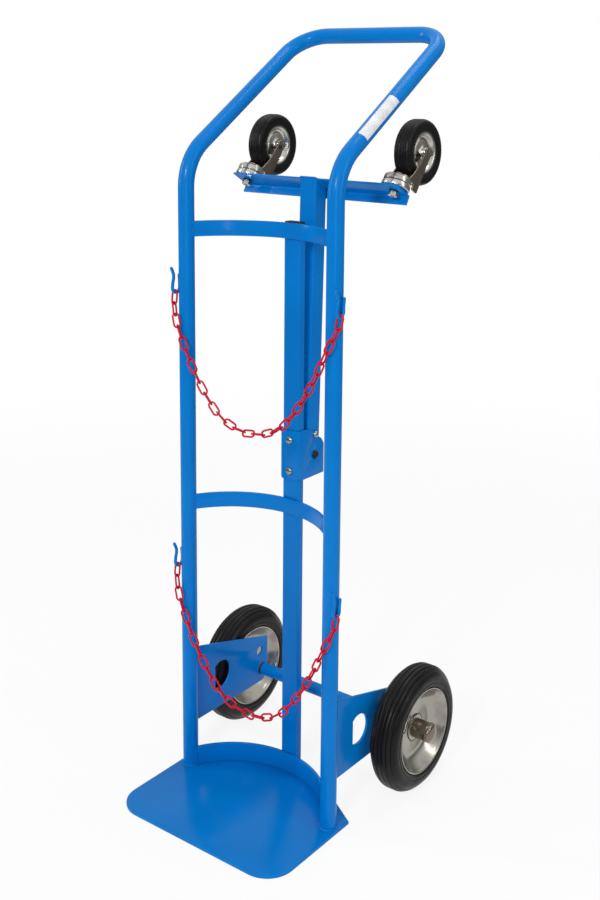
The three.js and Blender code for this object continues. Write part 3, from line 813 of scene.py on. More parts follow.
@dataclass(frozen=True)
class LinkChain:
    """A hanging chain of welded links between two hooks."""

    level: Level
    hook_bottom: float
    slack: float
    wire: float = 3.0 * MM
    link_length: float = 25.0 * MM
    width: float = 12.6 * MM
    over_hook: float = 8.2 * MM
    twist: float = 36.0
    half_route: tuple[tuple[float, float, float], ...] = (
        (156.5, -9.7, -0.3), (155.8, -11.4, -9), (153.6, -14, -18), (149, -17.2, -30),
        (143.2, -19.6, -43), (136, -20.2, -59), (127.8, -20.2, -76), (118.4, -20.2, -94),
        (108, -20.2, -112), (96, -20.2, -130.5), (82, -20.2, -149), (67.5, -20.2, -165),
        (48.5, -20.2, -179), (25, -20.2, -188), (0, -20.2, -191),
    )

    def route(self) -> list[Vector]:
        """The chain's line from the right hook to the left one."""
        hook = Vector((0, 0, self.hook_bottom))
        right = [Vector((x, y, z * self.slack)) * MM + hook for x, y, z in self.half_route]
        return right + [Vector((-p.x, p.y, p.z)) for p in reversed(right[:-1])]

    def link_loop(self) -> list[tuple[float, float]]:
        """The axis of one link's wire, along and across the link."""
        straight = (self.link_length - self.width) / 2
        bend = (self.width - self.wire) / 2
        return arc((straight, 0), bend, -90, 90, 8) + arc((-straight, 0), bend, 90, 270, 8)

    def link(self, centre: Vector, along: Vector, across: Vector) -> tuple[list[Vector], list[list[int]]]:
        """One link's points and faces.

        Args:
            centre: The link's middle.
            along: Its length's direction.
            across: Its width's direction.

        Returns:
            The points and the faces.
        """
        facing = along.cross(across)
        loop = self.link_loop()
        points = []
        for index, (u, v) in enumerate(loop):
            before, after = loop[index - 1], loop[(index + 1) % len(loop)]
            tangent = Vector((after[0] - before[0], after[1] - before[1])).normalized()
            outward = along * tangent.y - across * tangent.x
            for k in range(10):
                angle = 2 * math.pi * k / 10
                reach = outward * math.cos(angle) + facing * math.sin(angle)
                points.append(centre + along * u + across * v + reach * (self.wire / 2))
        return points, skin(len(loop), 10, True)

    def build(self) -> bpy.types.Object:
        route = self.route()
        lengths = [(b - a).length for a, b in zip(route, route[1:])]
        total = sum(lengths)
        first = self.link_length / 2 - self.over_hook
        pitch = self.link_length - 2 * self.wire
        gaps = 2 * round((total - 2 * first) / pitch / 2)
        points: list[Vector] = []
        faces: list[list[int]] = []
        for number in range(gaps + 1):
            centre, along = self.at(route, lengths, first + (total - 2 * first) * number / gaps)
            sideways = Vector((0, 1, 0))
            sideways = (sideways - along * along.dot(sideways)).normalized()
            sideways.rotate(Matrix.Rotation(self.roll(number / gaps), 3, along))
            across = along.cross(sideways) if number % 2 == 0 else sideways
            link_points, link_faces = self.link(centre, along, across)
            faces += [[i + len(points) for i in face] for face in link_faces]
            points += link_points
        name = f"{self.level.value}_link_chain"
        chain = solid(name, points, faces, RED, 60.0)
        settle(chain, "frame", f"{self.level.value}_chain", finish=RED)
        return chain

    def roll(self, share: float) -> float:
        """The links' turn about the chain's line, in radians, at a share of the way from the right hook."""
        onset = min(1.0, max(0.0, (share - 0.3) / 0.3))
        return math.radians(self.twist) * (0.5 - 0.5 * math.cos(math.pi * onset)) * min(1.0, (1 - share) / 0.08)

    @staticmethod
    def at(route: Sequence[Vector], lengths: Sequence[float], distance: float) -> tuple[Vector, Vector]:
        """The point and direction at a distance along a route."""
        for start, end, length in zip(route, route[1:], lengths):
            if distance <= length:
                break
            distance -= length
        along = (end - start).normalized()
        return start + along * distance, along


# ------------------------------------------------------------------------------------------ frame


@dataclass(frozen=True)
class BentFrame:
    """The bent tube, its toe plate, the curved straps and the centre post."""

    tube_radius: float = 12.5 * MM
    bend_height: float = 998 * MM
    knee_radius: float = 80 * MM
    corner_radius: float = 52 * MM
    plate_corner: float = 45 * MM
    plate_side_rear: float = 29 * MM
    plate_rear_half: float = 47 * MM
    strap_thickness: float = 5 * MM
    post_wall: float = 1.5 * MM
    post_corner: float = 2.2 * MM
    station_gap: float = 12 * MM

    @property
    def upright_x(self) -> float:
        """Distance of an upright's axis from the middle."""
        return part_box("main_frame_tube")[1].x - self.tube_radius

    def build(self) -> None:
        """Builds every fixed painted piece of the frame."""
        self.tube()
        self.toe_plate()
        for node in ("toe_upstand", "middle_cradle_strap", "upper_cradle_strap"):
            self.strap(node)
        self.post()

    def tube_axis(self) -> list[Vector]:
        """The tube's axis from the left upright's foot round the handle to the right one's."""
        low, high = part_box("main_frame_tube")
        x, reach, top = self.upright_x, high.y - self.tube_radius, high.z - self.tube_radius
        left = [Vector((-x, 0, low.z)), Vector((-x, 0, self.bend_height)), Vector((-x, reach, top))]
        right = [Vector((-p.x, p.y, p.z)) for p in reversed(left)]
        bends = [self.knee_radius, self.corner_radius]
        return rounded_path(left + right, bends + bends[::-1])

    def tube(self) -> None:
        """The bent tube with the weld ring at each foot."""
        axis = stepped(self.tube_axis(), self.station_gap)
        settle(swept("bent_frame_tube", axis, self.tube_radius, BLUE, 56), "frame", "main_frame_tube")
        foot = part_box("main_frame_tube")[0].z
        for side in Side:
            ring = [Vector((side.value * self.upright_x + x, y, foot + 0.4 * MM))
                    for x, y in arc((0, 0), self.tube_radius + 0.4 * MM, 0, 360, 40)]
            weld(f"{side.word}_foot_weld", ring, 2.0 * MM, "frame")

    def toe_plate(self) -> None:
        """The flat plate that the cylinder stands on."""
        low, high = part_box("toe_plate")
        corner_x, corner_y = high.x - self.plate_corner, low.y + self.plate_corner
        outline = arc((corner_x, corner_y), self.plate_corner, -90, 0, 14)
        outline += [(high.x, self.plate_side_rear), (self.plate_rear_half, high.y)]
        outline += [(-x, y) for x, y in reversed(outline)]
        piece = sheet("toe_plate_sheet", outline, Matrix.Translation((0, 0, low.z)), high.z - low.z, BLUE,
                      edge=0.9 * MM)
        settle(piece, "frame", "toe_plate")

    def strap(self, node: str) -> None:
        """A curved flat bar between the uprights, welded at both ends.

        Args:
            node: The strap's node.
        """
        low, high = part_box(node)
        hollow = high.y - self.strap_thickness
        chord = self.upright_x - self.tube_radius
        radius = (chord ** 2 + hollow ** 2) / (2 * hollow)
        centre = hollow - radius
        inner_end = math.degrees(math.atan2(-centre - 1 * MM, chord))
        outer_end = math.degrees(math.atan2(-centre + 1 * MM, chord + 0.5 * MM))
        outline = arc((0, centre), radius, 180 - inner_end, inner_end, 48)
        outline += arc((0, centre), radius + self.strap_thickness, outer_end, 180 - outer_end, 48)
        piece = sheet(node + "_bar", outline, Matrix.Translation((0, 0, low.z)), high.z - low.z, BLUE, edge=0.7 * MM)
        settle(piece, "frame", node)
        for side in Side:
            x = side.value * (chord - 0.2 * MM)
            for face, y in (("inner", -1.0 * MM), ("outer", self.strap_thickness + 1.2 * MM)):
                seam = [Vector((x, y, low.z + 1 * MM)), Vector((x, y, high.z - 1 * MM))]
                weld(f"{node}_{side.word}_{face}_weld", seam, 1.5 * MM, "frame")

    def post(self) -> None:
        """The centre post, its plastic cap and the weld at its foot."""
        low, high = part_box("centre_post")
        half_x, half_y = (high.x - low.x) / 2, (high.y - low.y) / 2
        centre = middle("centre_post")
        corners = [(-half_x, -half_y), (half_x, -half_y), (half_x, half_y), (-half_x, half_y)]
        outer = rounded_outline([(x, y, self.post_corner) for x, y in corners])
        wall = self.post_wall
        inner = rounded_outline([(math.copysign(abs(x) - wall, x), math.copysign(abs(y) - wall, y),
                                  self.post_corner - wall) for x, y in corners])
        place = Matrix.Translation((centre.x, centre.y, 0))
        piece = prism("post_tube", outer, place, level_end(low.z), level_end(high.z), BLUE, inner)
        settle(piece, "frame", "centre_post")
        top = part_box("post_cap")[1].z
        lid = prism("post_end_cap", outer, place, level_end(high.z), level_end(top), PLASTIC, edge=1.0 * MM)
        settle(lid, "frame", "post_cap", finish=PLASTIC)
        seam = [place @ Vector((x * 1.02, y * 1.04, low.z + 0.3 * MM)) for x, y in outer]
        weld("post_foot_weld", seam + seam[:1], 1.6 * MM, "frame")


@dataclass(frozen=True)
class WheelPlates:
    """The two side plates that carry the axle, and the axle."""

    corner: float = 20 * MM
    front: float = 12 * MM
    front_top: float = 208 * MM
    weld_top: float = 203 * MM
    rear_top: float = 153 * MM
    lightening: tuple[float, float, float] = (75 * MM, 131 * MM, 24 * MM)
    lightening_front: float = 60 * MM
    lift_hole: tuple[float, float, float] = (177 * MM, 133 * MM, 7.5 * MM)
    dark_band: float = 7 * MM
    paint: float = 0.25 * MM
    scale: float = 0.08 * MM

    def outline(self, low: Vector, high: Vector) -> Outline:
        """The plate's outline in Y and Z."""
        lower = arc((high.y - self.corner, low.z + self.corner), self.corner, -90, 0, 10)
        slope = (self.rear_top - self.front_top) / high.y
        corner = (self.front, self.front_top + slope * self.front)
        return [(self.front, low.z)] + lower + [(high.y, self.rear_top), corner]

    def build(self) -> None:
        """Builds both plates, their welds and the axle."""
        for side in Side:
            node = f"{side.word}_wheel_plate"
            low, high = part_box(node)
            y, z, radius = self.lightening
            chord = math.degrees(math.acos((self.lightening_front - y) / radius))
            holes = [arc((y, z), radius, -chord, chord, 40), arc(self.lift_hole[:2], self.lift_hole[2], 0, 345, 23)]
            place = basis(Vector((0, 1, 0)), Vector((0, 0, 1)), Vector((low.x, 0, 0)))
            outline = self.outline(low, high)
            piece = sheet(node + "_sheet", outline, place, high.x - low.x, BLUE, holes, 0.5 * MM)
            settle(piece, "frame", node)
            inner, outer = (low.x, high.x) if side is Side.RIGHT else (high.x, low.x)
            seam_y = self.front + 0.3 * MM
            for face, x in (("inner", inner), ("outer", outer)):
                seam = [Vector((x, seam_y, low.z + 1 * MM)), Vector((x, seam_y, self.weld_top))]
                weld(f"{node}_{face}_weld", seam, 1.5 * MM, "frame")
        self.axle()

    def axle(self) -> None:
        """The axle: painted between the plates, bright outside them, with a weld at each plate."""
        low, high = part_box("wheel_axle")
        centre = middle("wheel_axle")
        radius = (high.z - low.z) / 2
        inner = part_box("right_wheel_plate")[0].x
        chamfer = 1 * MM
        place = along_x(Vector((0, centre.y, centre.z)))
        bar = [(0.0, low.x), (radius - chamfer, low.x), (radius, low.x + chamfer),
               (radius, high.x - chamfer), (radius - chamfer, high.x), (0.0, high.x)]
        settle(turned("axle_bar", bar, place, ZINC, 48), "frame", "wheel_axle", finish=ZINC)
        # Each end of the axle's paint, against a plate, is a darker grey-brown band.
        sleeves = (("axle_paint", BLUE, -inner + self.dark_band, inner - self.dark_band),
                   ("left_heat_mark", DARK_AXLE_BAND, -inner, -inner + self.dark_band),
                   ("right_heat_mark", DARK_AXLE_BAND, inner - self.dark_band, inner))
        for name, finish, start, end in sleeves:
            skin_radius = radius + (self.paint if finish is BLUE else self.scale)
            profile = [(radius, start), (skin_radius, start), (skin_radius, end), (radius, end)]
            settle(turned(name, profile, place, finish, 48), "frame", finish=finish)
        for side in Side:
            ring = [Vector((side.value * (inner - 0.3 * MM), centre.y + y, centre.z + z))
                    for y, z in arc((0, 0), radius + 0.6 * MM, 0, 360, 36)]
            weld(f"{side.word}_axle_weld", ring, 1.8 * MM, "frame")


@dataclass(frozen=True)
class ChainHook:
    """An open hook of round rod: its shank is welded to an upright's outer side and its tip stands in front.

    The shank is given as (outward, down from its top) and the tip as (back, up), both in millimetres.
    """

    level: Level
    side: Side
    rod: float = 2.5 * MM
    bend: float = 8 * MM
    shank_height: float = 31 * MM
    shank: tuple[tuple[float, float], ...] = ((1.1, 0), (0.8, 5), (0, 13))
    weld_radius: float = 1.4 * MM
    weld_half: float = 2.1 * MM
    weld_ends: tuple[float, float] = (15 * MM, 28 * MM)
    tip: tuple[tuple[float, float], ...] = (
        (0.9, 18), (2.5, 24), (3.0, 28), (2.4, 32), (0.3, 37), (-2.2, 41.6), (-3.0, 43.4),
    )

    def build(self) -> None:
        """Builds the hook and its weld."""
        node = f"{self.level.value}_{self.side.word}_hook"
        low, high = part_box(node)
        x, y = (low.x + high.x) / 2, high.y - self.rod
        outward, top = self.side.value * MM, low.z + self.shank_height
        path = [Vector((x + out * outward, y, top - down * MM)) for out, down in self.shank]
        path += [Vector((x, y - self.bend + u, low.z + self.rod + self.bend + v))
                 for u, v in arc((0, 0), self.bend, 0, -180, 16)]
        path += [Vector((x, y - 2 * self.bend + back * MM, low.z + up * MM)) for back, up in self.tip]
        settle(swept(node + "_rod", path, self.rod, BLUE, 20, True), "frame", node)
        seam_x = x - self.side.value * (self.rod + 0.2 * MM)
        for edge, seam_y in (("front", y - self.weld_half), ("rear", y + self.weld_half)):
            seam = [Vector((seam_x, seam_y, low.z + up)) for up in self.weld_ends]
            weld(f"{node}_{edge}_weld", seam, self.weld_radius, "frame")


# ------------------------------------------------------------------------------------------ main wheels


@dataclass(frozen=True)
class MainWheel:
    """A main wheel: a grooved tyre on a dished two-part rim, with its hub, washers and axle cap."""

    side: Side
    crown_flat: float = 6 * MM
    crown_half: float = 20 * MM
    crown_drop: float = 9 * MM
    grooves: tuple[float, ...] = (-17.2, -11.5, -4.2, 4.2, 11.5, 17.2)
    groove_depth: float = 1.9 * MM
    groove_width: float = 0.95 * MM
    crown_steps: int = 88
    axle_bore: float = 10.3 * MM
    cap_radius: float = 15.8 * MM

    def tread(self, x: float, radius: float) -> float:
        """The tyre's radius at a distance across its crown."""
        drop = max(0.0, (abs(x) - self.crown_flat) / (self.crown_half - self.crown_flat))
        groove = sum(math.exp(-((x - g * MM) / self.groove_width) ** 2) for g in self.grooves)
        return radius - self.crown_drop * drop ** 2 - self.groove_depth * groove

    def tyre_profile(self, radius: float) -> list[tuple[float, float]]:
        """The tyre's closed section, as (radius, distance across)."""
        crown = []
        for i in range(self.crown_steps + 1):
            x = self.crown_half * (2 * i / self.crown_steps - 1)
            crown.append((self.tread(x, radius), x))
        wall = [(88.6, 22.0), (85.6, 23.4), (82.6, 24.2), (79.6, 24.5), (77.2, 24.45), (76.5, 23.9), (75.8, 24.45),
                (74.0, 24.4), (72.2, 24.1), (70.8, 23.4), (69.2, 22.0), (61.4, 14.6), (50.8, 0.6)]
        right = [(r * MM, x * MM) for r, x in wall]
        left = [(r, -x) for r, x in reversed(right[:-1])]
        return crown + right + left

    def rim_profile(self) -> list[tuple[float, float]]:
        """One pressed half of the rim, as (radius, distance from the middle plane)."""
        face = [(15.3, 5.9), (19.6, 5.9), (20.6, 5.4), (21.0, 4.4), (21.2, 2.5), (22.2, 1.9), (26.0, 1.9),
                (40.0, 1.9), (43.0, 2.2), (46.0, 3.1), (49.0, 4.7), (52.0, 7.0), (55.0, 9.9), (58.0, 13.2),
                (61.0, 16.6), (63.4, 19.4), (64.6, 20.4), (65.6, 22.2), (66.8, 23.4), (67.9, 23.5), (68.5, 22.9)]
        back = [(68.6, 22.0), (66.4, 20.4), (62.2, 15.4), (59.0, 11.6), (56.0, 8.2), (53.0, 5.4), (50.0, 3.1),
                (47.0, 1.4), (44.0, 0.5), (40.0, 0.3), (15.3, 0.3)]
        return [(r * MM, x * MM) for r, x in face + back]

    def build(self) -> None:
        """Builds the wheel."""
        word, sign = self.side.word, self.side.value
        body = f"{word}_wheel"
        low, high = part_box(f"{word}_tyre")
        centre = middle(f"{word}_tyre")
        radius = (high.z - low.z) / 2
        out = along_x(centre, sign)
        tyre = turned(f"{word}_grooved_tyre", self.tyre_profile(radius), out, RUBBER, 128, 50)
        settle(tyre, body, f"{word}_tyre", finish=RUBBER)
        for face, turn in (("outer", sign), ("inner", -sign)):
            half = turned(f"{word}_{face}_dish", self.rim_profile(), along_x(centre, turn), ZINC, 128, 40)
            settle(half, body, f"{word}_rim_{face}_half", finish=ZINC)
        self.hub(word, body, out)
        self.cap(word, sign)

    def hub(self, word: str, body: str, out: Matrix) -> None:
        """The hub tube and its two washers."""
        low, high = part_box(f"{word}_hub")
        half, radius = (high.x - low.x) / 2, (high.z - low.z) / 2
        bore = radius - 2 * MM
        tube = [(bore, -half), (radius - 0.6 * MM, -half), (radius, -half + 0.6 * MM), (radius, half - 0.6 * MM),
                (radius - 0.6 * MM, half), (bore, half)]
        # The hub tube takes the darker, browner zinc copy: painted shade.
        settle(turned(f"{word}_hub_tube", tube, out, ZINC_PAINTED_SHADE, 64), body, f"{word}_hub", finish=ZINC)
        for node in (f"{word}_inner_washer", f"{word}_outer_washer"):
            low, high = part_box(node)
            centre = middle(node)
            thick, reach = (high.x - low.x) / 2, (high.z - low.z) / 2
            edge = 0.3 * MM
            disc = [(self.axle_bore, -thick), (reach - edge, -thick), (reach, -thick + edge),
                    (reach, thick - edge), (reach - edge, thick), (self.axle_bore, thick)]
            settle(turned(node + "_disc", disc, along_x(centre), ZINC, 64), body, node, finish=ZINC)

    def cap(self, word: str, sign: int) -> None:
        """The push-on cap over the axle's end: a thin turned-out rim and a domed face."""
        low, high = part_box(f"{word}_axle_cap")
        reach, depth = self.cap_radius, high.x - low.x
        centre = middle(f"{word}_axle_cap")
        seat = Vector((low.x if sign > 0 else high.x, centre.y, centre.z))
        bore, dome, pocket = self.axle_bore, reach - 1.9 * MM, 3.9 * MM
        shell = [(bore, 0.0), (reach, 0.0), (reach, 1.1 * MM), (reach - 0.5 * MM, 1.7 * MM),
                 (reach - 1.4 * MM, 1.8 * MM), (dome, 2.6 * MM)]
        shell += [(dome * math.cos(math.radians(a)), depth * (0.36 + 0.64 * math.sin(math.radians(a))))
                  for a in range(8, 87, 8)]
        shell += [(0.0, depth), (0.0, pocket), (bore, pocket)]
        # The cap takes the darker, browner zinc copy: painted shade and painted reflection on its dome.
        cap = turned(f"{word}_domed_cap", shell, along_x(seat, sign), CAP_ZINC_PAINTED_SHADE, 64)
        settle(cap, "frame", f"{word}_axle_cap", finish=ZINC)


# ------------------------------------------------------------------------------------------ leg


@dataclass(frozen=True)
class LegBracket:
    """The folded channel on the post that the leg turns in, with its bolts."""

    sheet: float = 2.5 * MM
    fold: float = 3.2 * MM
    rear_top: float = 571 * MM
    shoulder: float = 131 * MM
    chamfer: float = 548 * MM
    corner_cut: float = 4.2 * MM
    pivot: tuple[float, float] = (122 * MM, 535 * MM)
    catch_height: float = 33 * MM
    slot_half: float = 4.3 * MM
    slot_sweep: float = 75.0
    pivot_hole: float = 4.3 * MM
    rest_lean: float = 1.8

    def build(self) -> None:
        """Builds the bracket and its bolts."""
        self.channel()
        for word in ("lower", "upper"):
            self.web_bolt(word)
        self.pivot_bolt()

    def channel(self) -> None:
        """The channel: folded round the post, with its rear corners cut and slotted."""
        low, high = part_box("leg_bracket")
        outer_x, inner_x = high.x, high.x - self.sheet
        web = low.y + self.sheet
        sharp, lip = self.fold - self.sheet, 0.4 * MM
        section = rounded_outline([(-outer_x, high.y, lip), (-outer_x, low.y, self.fold),
                                   (outer_x, low.y, self.fold), (outer_x, high.y, lip), (inner_x, high.y, lip),
                                   (inner_x, web, sharp), (-inner_x, web, sharp), (-inner_x, high.y, lip)])
        ends = level_end(low.z), level_end(high.z)
        piece = prism("leg_bracket_channel", section, Matrix.Identity(4), *ends, BLUE)
        carve(piece, *self.cutters(low, high))
        ease_edges(piece, 0.35 * MM, 40.0, 2)
        settle(piece, "frame", "leg_bracket")

    def cutters(self, low: Vector, high: Vector) -> list[bpy.types.Object]:
        """The solids that cut the channel's corners, slots and holes."""
        across = high.x + 5 * MM
        side = basis(Vector((0, 1, 0)), Vector((0, 0, 1)), Vector((0, 0, 0)))
        far = 30 * MM
        post_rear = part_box("centre_post")[1].y
        top = [(post_rear, high.z), (self.shoulder, self.rear_top), (high.y, self.chamfer),
               (high.y + far, self.chamfer), (high.y + far, high.z + far), (post_rear, high.z + far)]
        y, z = self.pivot
        seat = 90 - self.rest_lean
        band = arc((y, z), self.catch_height + self.slot_half, seat - self.slot_sweep, seat, 24)
        seat_y = y + self.catch_height * math.cos(math.radians(seat))
        seat_z = z + self.catch_height * math.sin(math.radians(seat))
        band += arc((seat_y, seat_z), self.slot_half, seat + 8, seat + 172, 12)
        band += arc((y, z), self.catch_height - self.slot_half, seat, seat - self.slot_sweep, 24)
        hole = arc(self.pivot, self.pivot_hole, 0, 345, 23)
        tools = [prism(name, shape, side, level_end(-across), level_end(across), BLUE)
                 for name, shape in (("corner_tool", top), ("slot_tool", band), ("pivot_tool", hole))]
        front = basis(Vector((1, 0, 0)), Vector((0, 0, 1)), Vector((0, 0, 0)))
        ends = level_end(-(low.y + 4 * MM)), level_end(-(low.y - far))
        cut = self.corner_cut
        for sign in (-1, 1):
            corner = [(sign * (high.x + far), low.z - far), (sign * (high.x - cut), low.z - far),
                      (sign * (high.x - cut), low.z), (sign * high.x, low.z + cut),
                      (sign * (high.x + far), low.z + cut)]
            tools.append(prism("foot_tool", corner, front, *ends, BLUE))
        return tools

    def web_bolt(self, word: str) -> None:
        """A round-headed bolt through the web and the post, and its nut."""
        low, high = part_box(f"bracket_bolt_{word}")
        centre = middle(f"bracket_bolt_{word}")
        head, height, shank = (high.x - low.x) / 2, 3.5 * MM, 3.0 * MM
        forward = basis(Vector((1, 0, 0)), Vector((0, 0, 1)), Vector((0, low.y + height, centre.z)))
        profile = [(0.0, -(high.y - low.y - height)), (shank, -(high.y - low.y - height)), (shank, 0.0)]
        profile += domed_head(head, height, 0.0)
        bolt = turned(f"bracket_bolt_{word}_domed", profile, forward, ZINC, 40)
        settle(bolt, "frame", f"bracket_bolt_{word}", finish=ZINC)
        low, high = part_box(f"bracket_nut_{word}")
        back = basis(Vector((1, 0, 0)), Vector((0, 0, -1)), Vector((0, low.y, centre.z)))
        nut = hex_body(f"bracket_nut_{word}_hex", 10 * MM, high.y - low.y, back, ZINC)
        settle(nut, "frame", f"bracket_nut_{word}", finish=ZINC)

    def pivot_bolt(self) -> None:
        """The black bolt that the leg turns on, with a grey zinc disc in the pocket of its head as a painted
        highlight, and its nut.
        """
        low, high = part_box("leg_pivot_bolt")
        radius, height, shank = 6.5 * MM, 5 * MM, 4 * MM
        seat = high.x - height
        place = along_x(Vector((seat, *self.pivot)))
        profile = [(0.0, low.x - seat), (shank, low.x - seat), (shank, 0.0)]
        profile += domed_head(radius, height, 0.0)[:-1]
        profile += [(2.0 * MM, height * 0.99), (1.8 * MM, height - 1.6 * MM), (0.0, height - 1.6 * MM)]
        bolt = turned("leg_pivot_bolt_domed", profile, place, OXIDE, 48)
        settle(bolt, "frame", "leg_pivot_bolt", finish=OXIDE)
        # A grey zinc disc set in the black head's pocket: a painted highlight.
        highlight_disc = [(0.0, height - 1.9 * MM), (2.0 * MM, height - 1.9 * MM),
                  (2.0 * MM, height - 1.1 * MM), (0.0, height - 0.9 * MM)]
        settle(turned("leg_pivot_socket", highlight_disc, place, ZINC, 24), "frame", finish=ZINC)
        low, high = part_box("leg_pivot_nut")
        inward = along_x(Vector((high.x, *self.pivot)), -1.0)
        nut = hex_body("leg_pivot_nut_hex", 13 * MM, high.x - low.x, inward, OXIDE)
        settle(nut, "frame", "leg_pivot_nut", finish=OXIDE)


@dataclass(frozen=True)
class FoldingLeg:
    """The square leg, its catch bolt and the angle bar that holds the casters."""

    pivot: tuple[float, float] = (122 * MM, 535 * MM)
    lean: float = 1.8
    half: float = 15 * MM
    wall: float = 2 * MM
    corner: float = 3 * MM
    tail: float = 16.5 * MM
    length: float = 435 * MM
    bar_front: float = -5.5 * MM
    bar_tilt: float = 28.7
    bar_sheet: float = 3 * MM
    bar_flange: float = 40 * MM
    bar_lip: float = 16 * MM
    seam: float = 0.3 * MM

    def leg_place(self) -> Matrix:
        """The leg's own frame: its axis is local Z, from the pivot up."""
        return Matrix.Translation((0, *self.pivot)) @ Matrix.Rotation(math.radians(-self.lean), 4, "X")

    def bar_place(self) -> Matrix:
        """The caster bar's own frame: its flange's upper face, from its front edge."""
        tilt = Matrix.Rotation(math.radians(-self.bar_tilt), 4, "X")
        return self.leg_place() @ Matrix.Translation((0, self.bar_front, self.length)) @ tilt

    def build(self) -> None:
        """Builds the leg, the bar and the catch bolt."""
        self.tube()
        self.bar()
        self.catch_bolt()

    def tube(self) -> None:
        """The square tube, mitred under the bar."""
        h, wall = self.half, self.wall
        corners = [(-h, -h), (h, -h), (h, h), (-h, h)]
        outer = rounded_outline([(x, y, self.corner) for x, y in corners])
        inner = rounded_outline([(math.copysign(h - wall, x), math.copysign(h - wall, y), self.corner - wall)
                                 for x, y in corners])
        slope = math.tan(math.radians(self.bar_tilt))
        drop = (self.bar_sheet + self.seam) / math.cos(math.radians(self.bar_tilt))

        def mitre(x: float, y: float) -> float:
            """The tube's height under the bar's slope."""
            return self.length - drop - (y - self.bar_front) * slope

        piece = prism("leg_square_tube", outer, self.leg_place(), level_end(-self.tail), mitre, BLUE, inner)
        settle(piece, "leg", "leg_tube")
        place = self.leg_place()
        seam = [place @ Vector((x * 1.02, y * 1.02, mitre(x, y) - 0.3 * MM)) for x, y in outer]
        weld("leg_top_weld", seam + seam[:1], 1.5 * MM, "leg")

    def bar(self) -> None:
        """The angle bar across the leg's top, with the root and edge radii of a rolled section."""
        low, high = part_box("caster_bar")
        flange, lip, sheet_t = self.bar_flange, self.bar_lip, self.bar_sheet
        section = rounded_outline([(0, 0, 0.5 * MM), (flange, 0, 2.2 * MM), (flange, -lip, 1.2 * MM),
                                   (flange - sheet_t, -lip, 1.2 * MM), (flange - sheet_t, -sheet_t, 2.5 * MM),
                                   (0, -sheet_t, 1.2 * MM)])
        own = self.bar_place()
        y_axis, z_axis = own.col[1].xyz, own.col[2].xyz
        place = basis(y_axis, z_axis, own.translation)
        ends = level_end(low.x), level_end(high.x)
        piece = prism("caster_angle_bar", section, place, *ends, BLUE, edge=0.5 * MM)
        settle(piece, "leg", "caster_bar")

    def catch_bolt(self) -> None:
        """The bright bolt that swings into the bracket's slots, and its nut."""
        low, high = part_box("leg_catch_bolt")
        radius, height, shank = 5.5 * MM, 4 * MM, 4 * MM
        centre = middle("leg_catch_bolt")
        seat = high.x - height
        profile = [(0.0, low.x - seat), (shank, low.x - seat), (shank, 0.0)] + domed_head(radius, height, 0.0)
        place = along_x(Vector((seat, centre.y, centre.z)))
        settle(turned("leg_catch_bolt_domed", profile, place, ZINC, 40), "leg", "leg_catch_bolt", finish=ZINC)
        low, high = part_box("leg_catch_nut")
        nut = hex_body("leg_catch_nut_hex", 13 * MM, high.x - low.x,
                       along_x(Vector((high.x, centre.y, centre.z)), -1.0), ZINC)
        settle(nut, "leg", "leg_catch_nut", finish=ZINC)


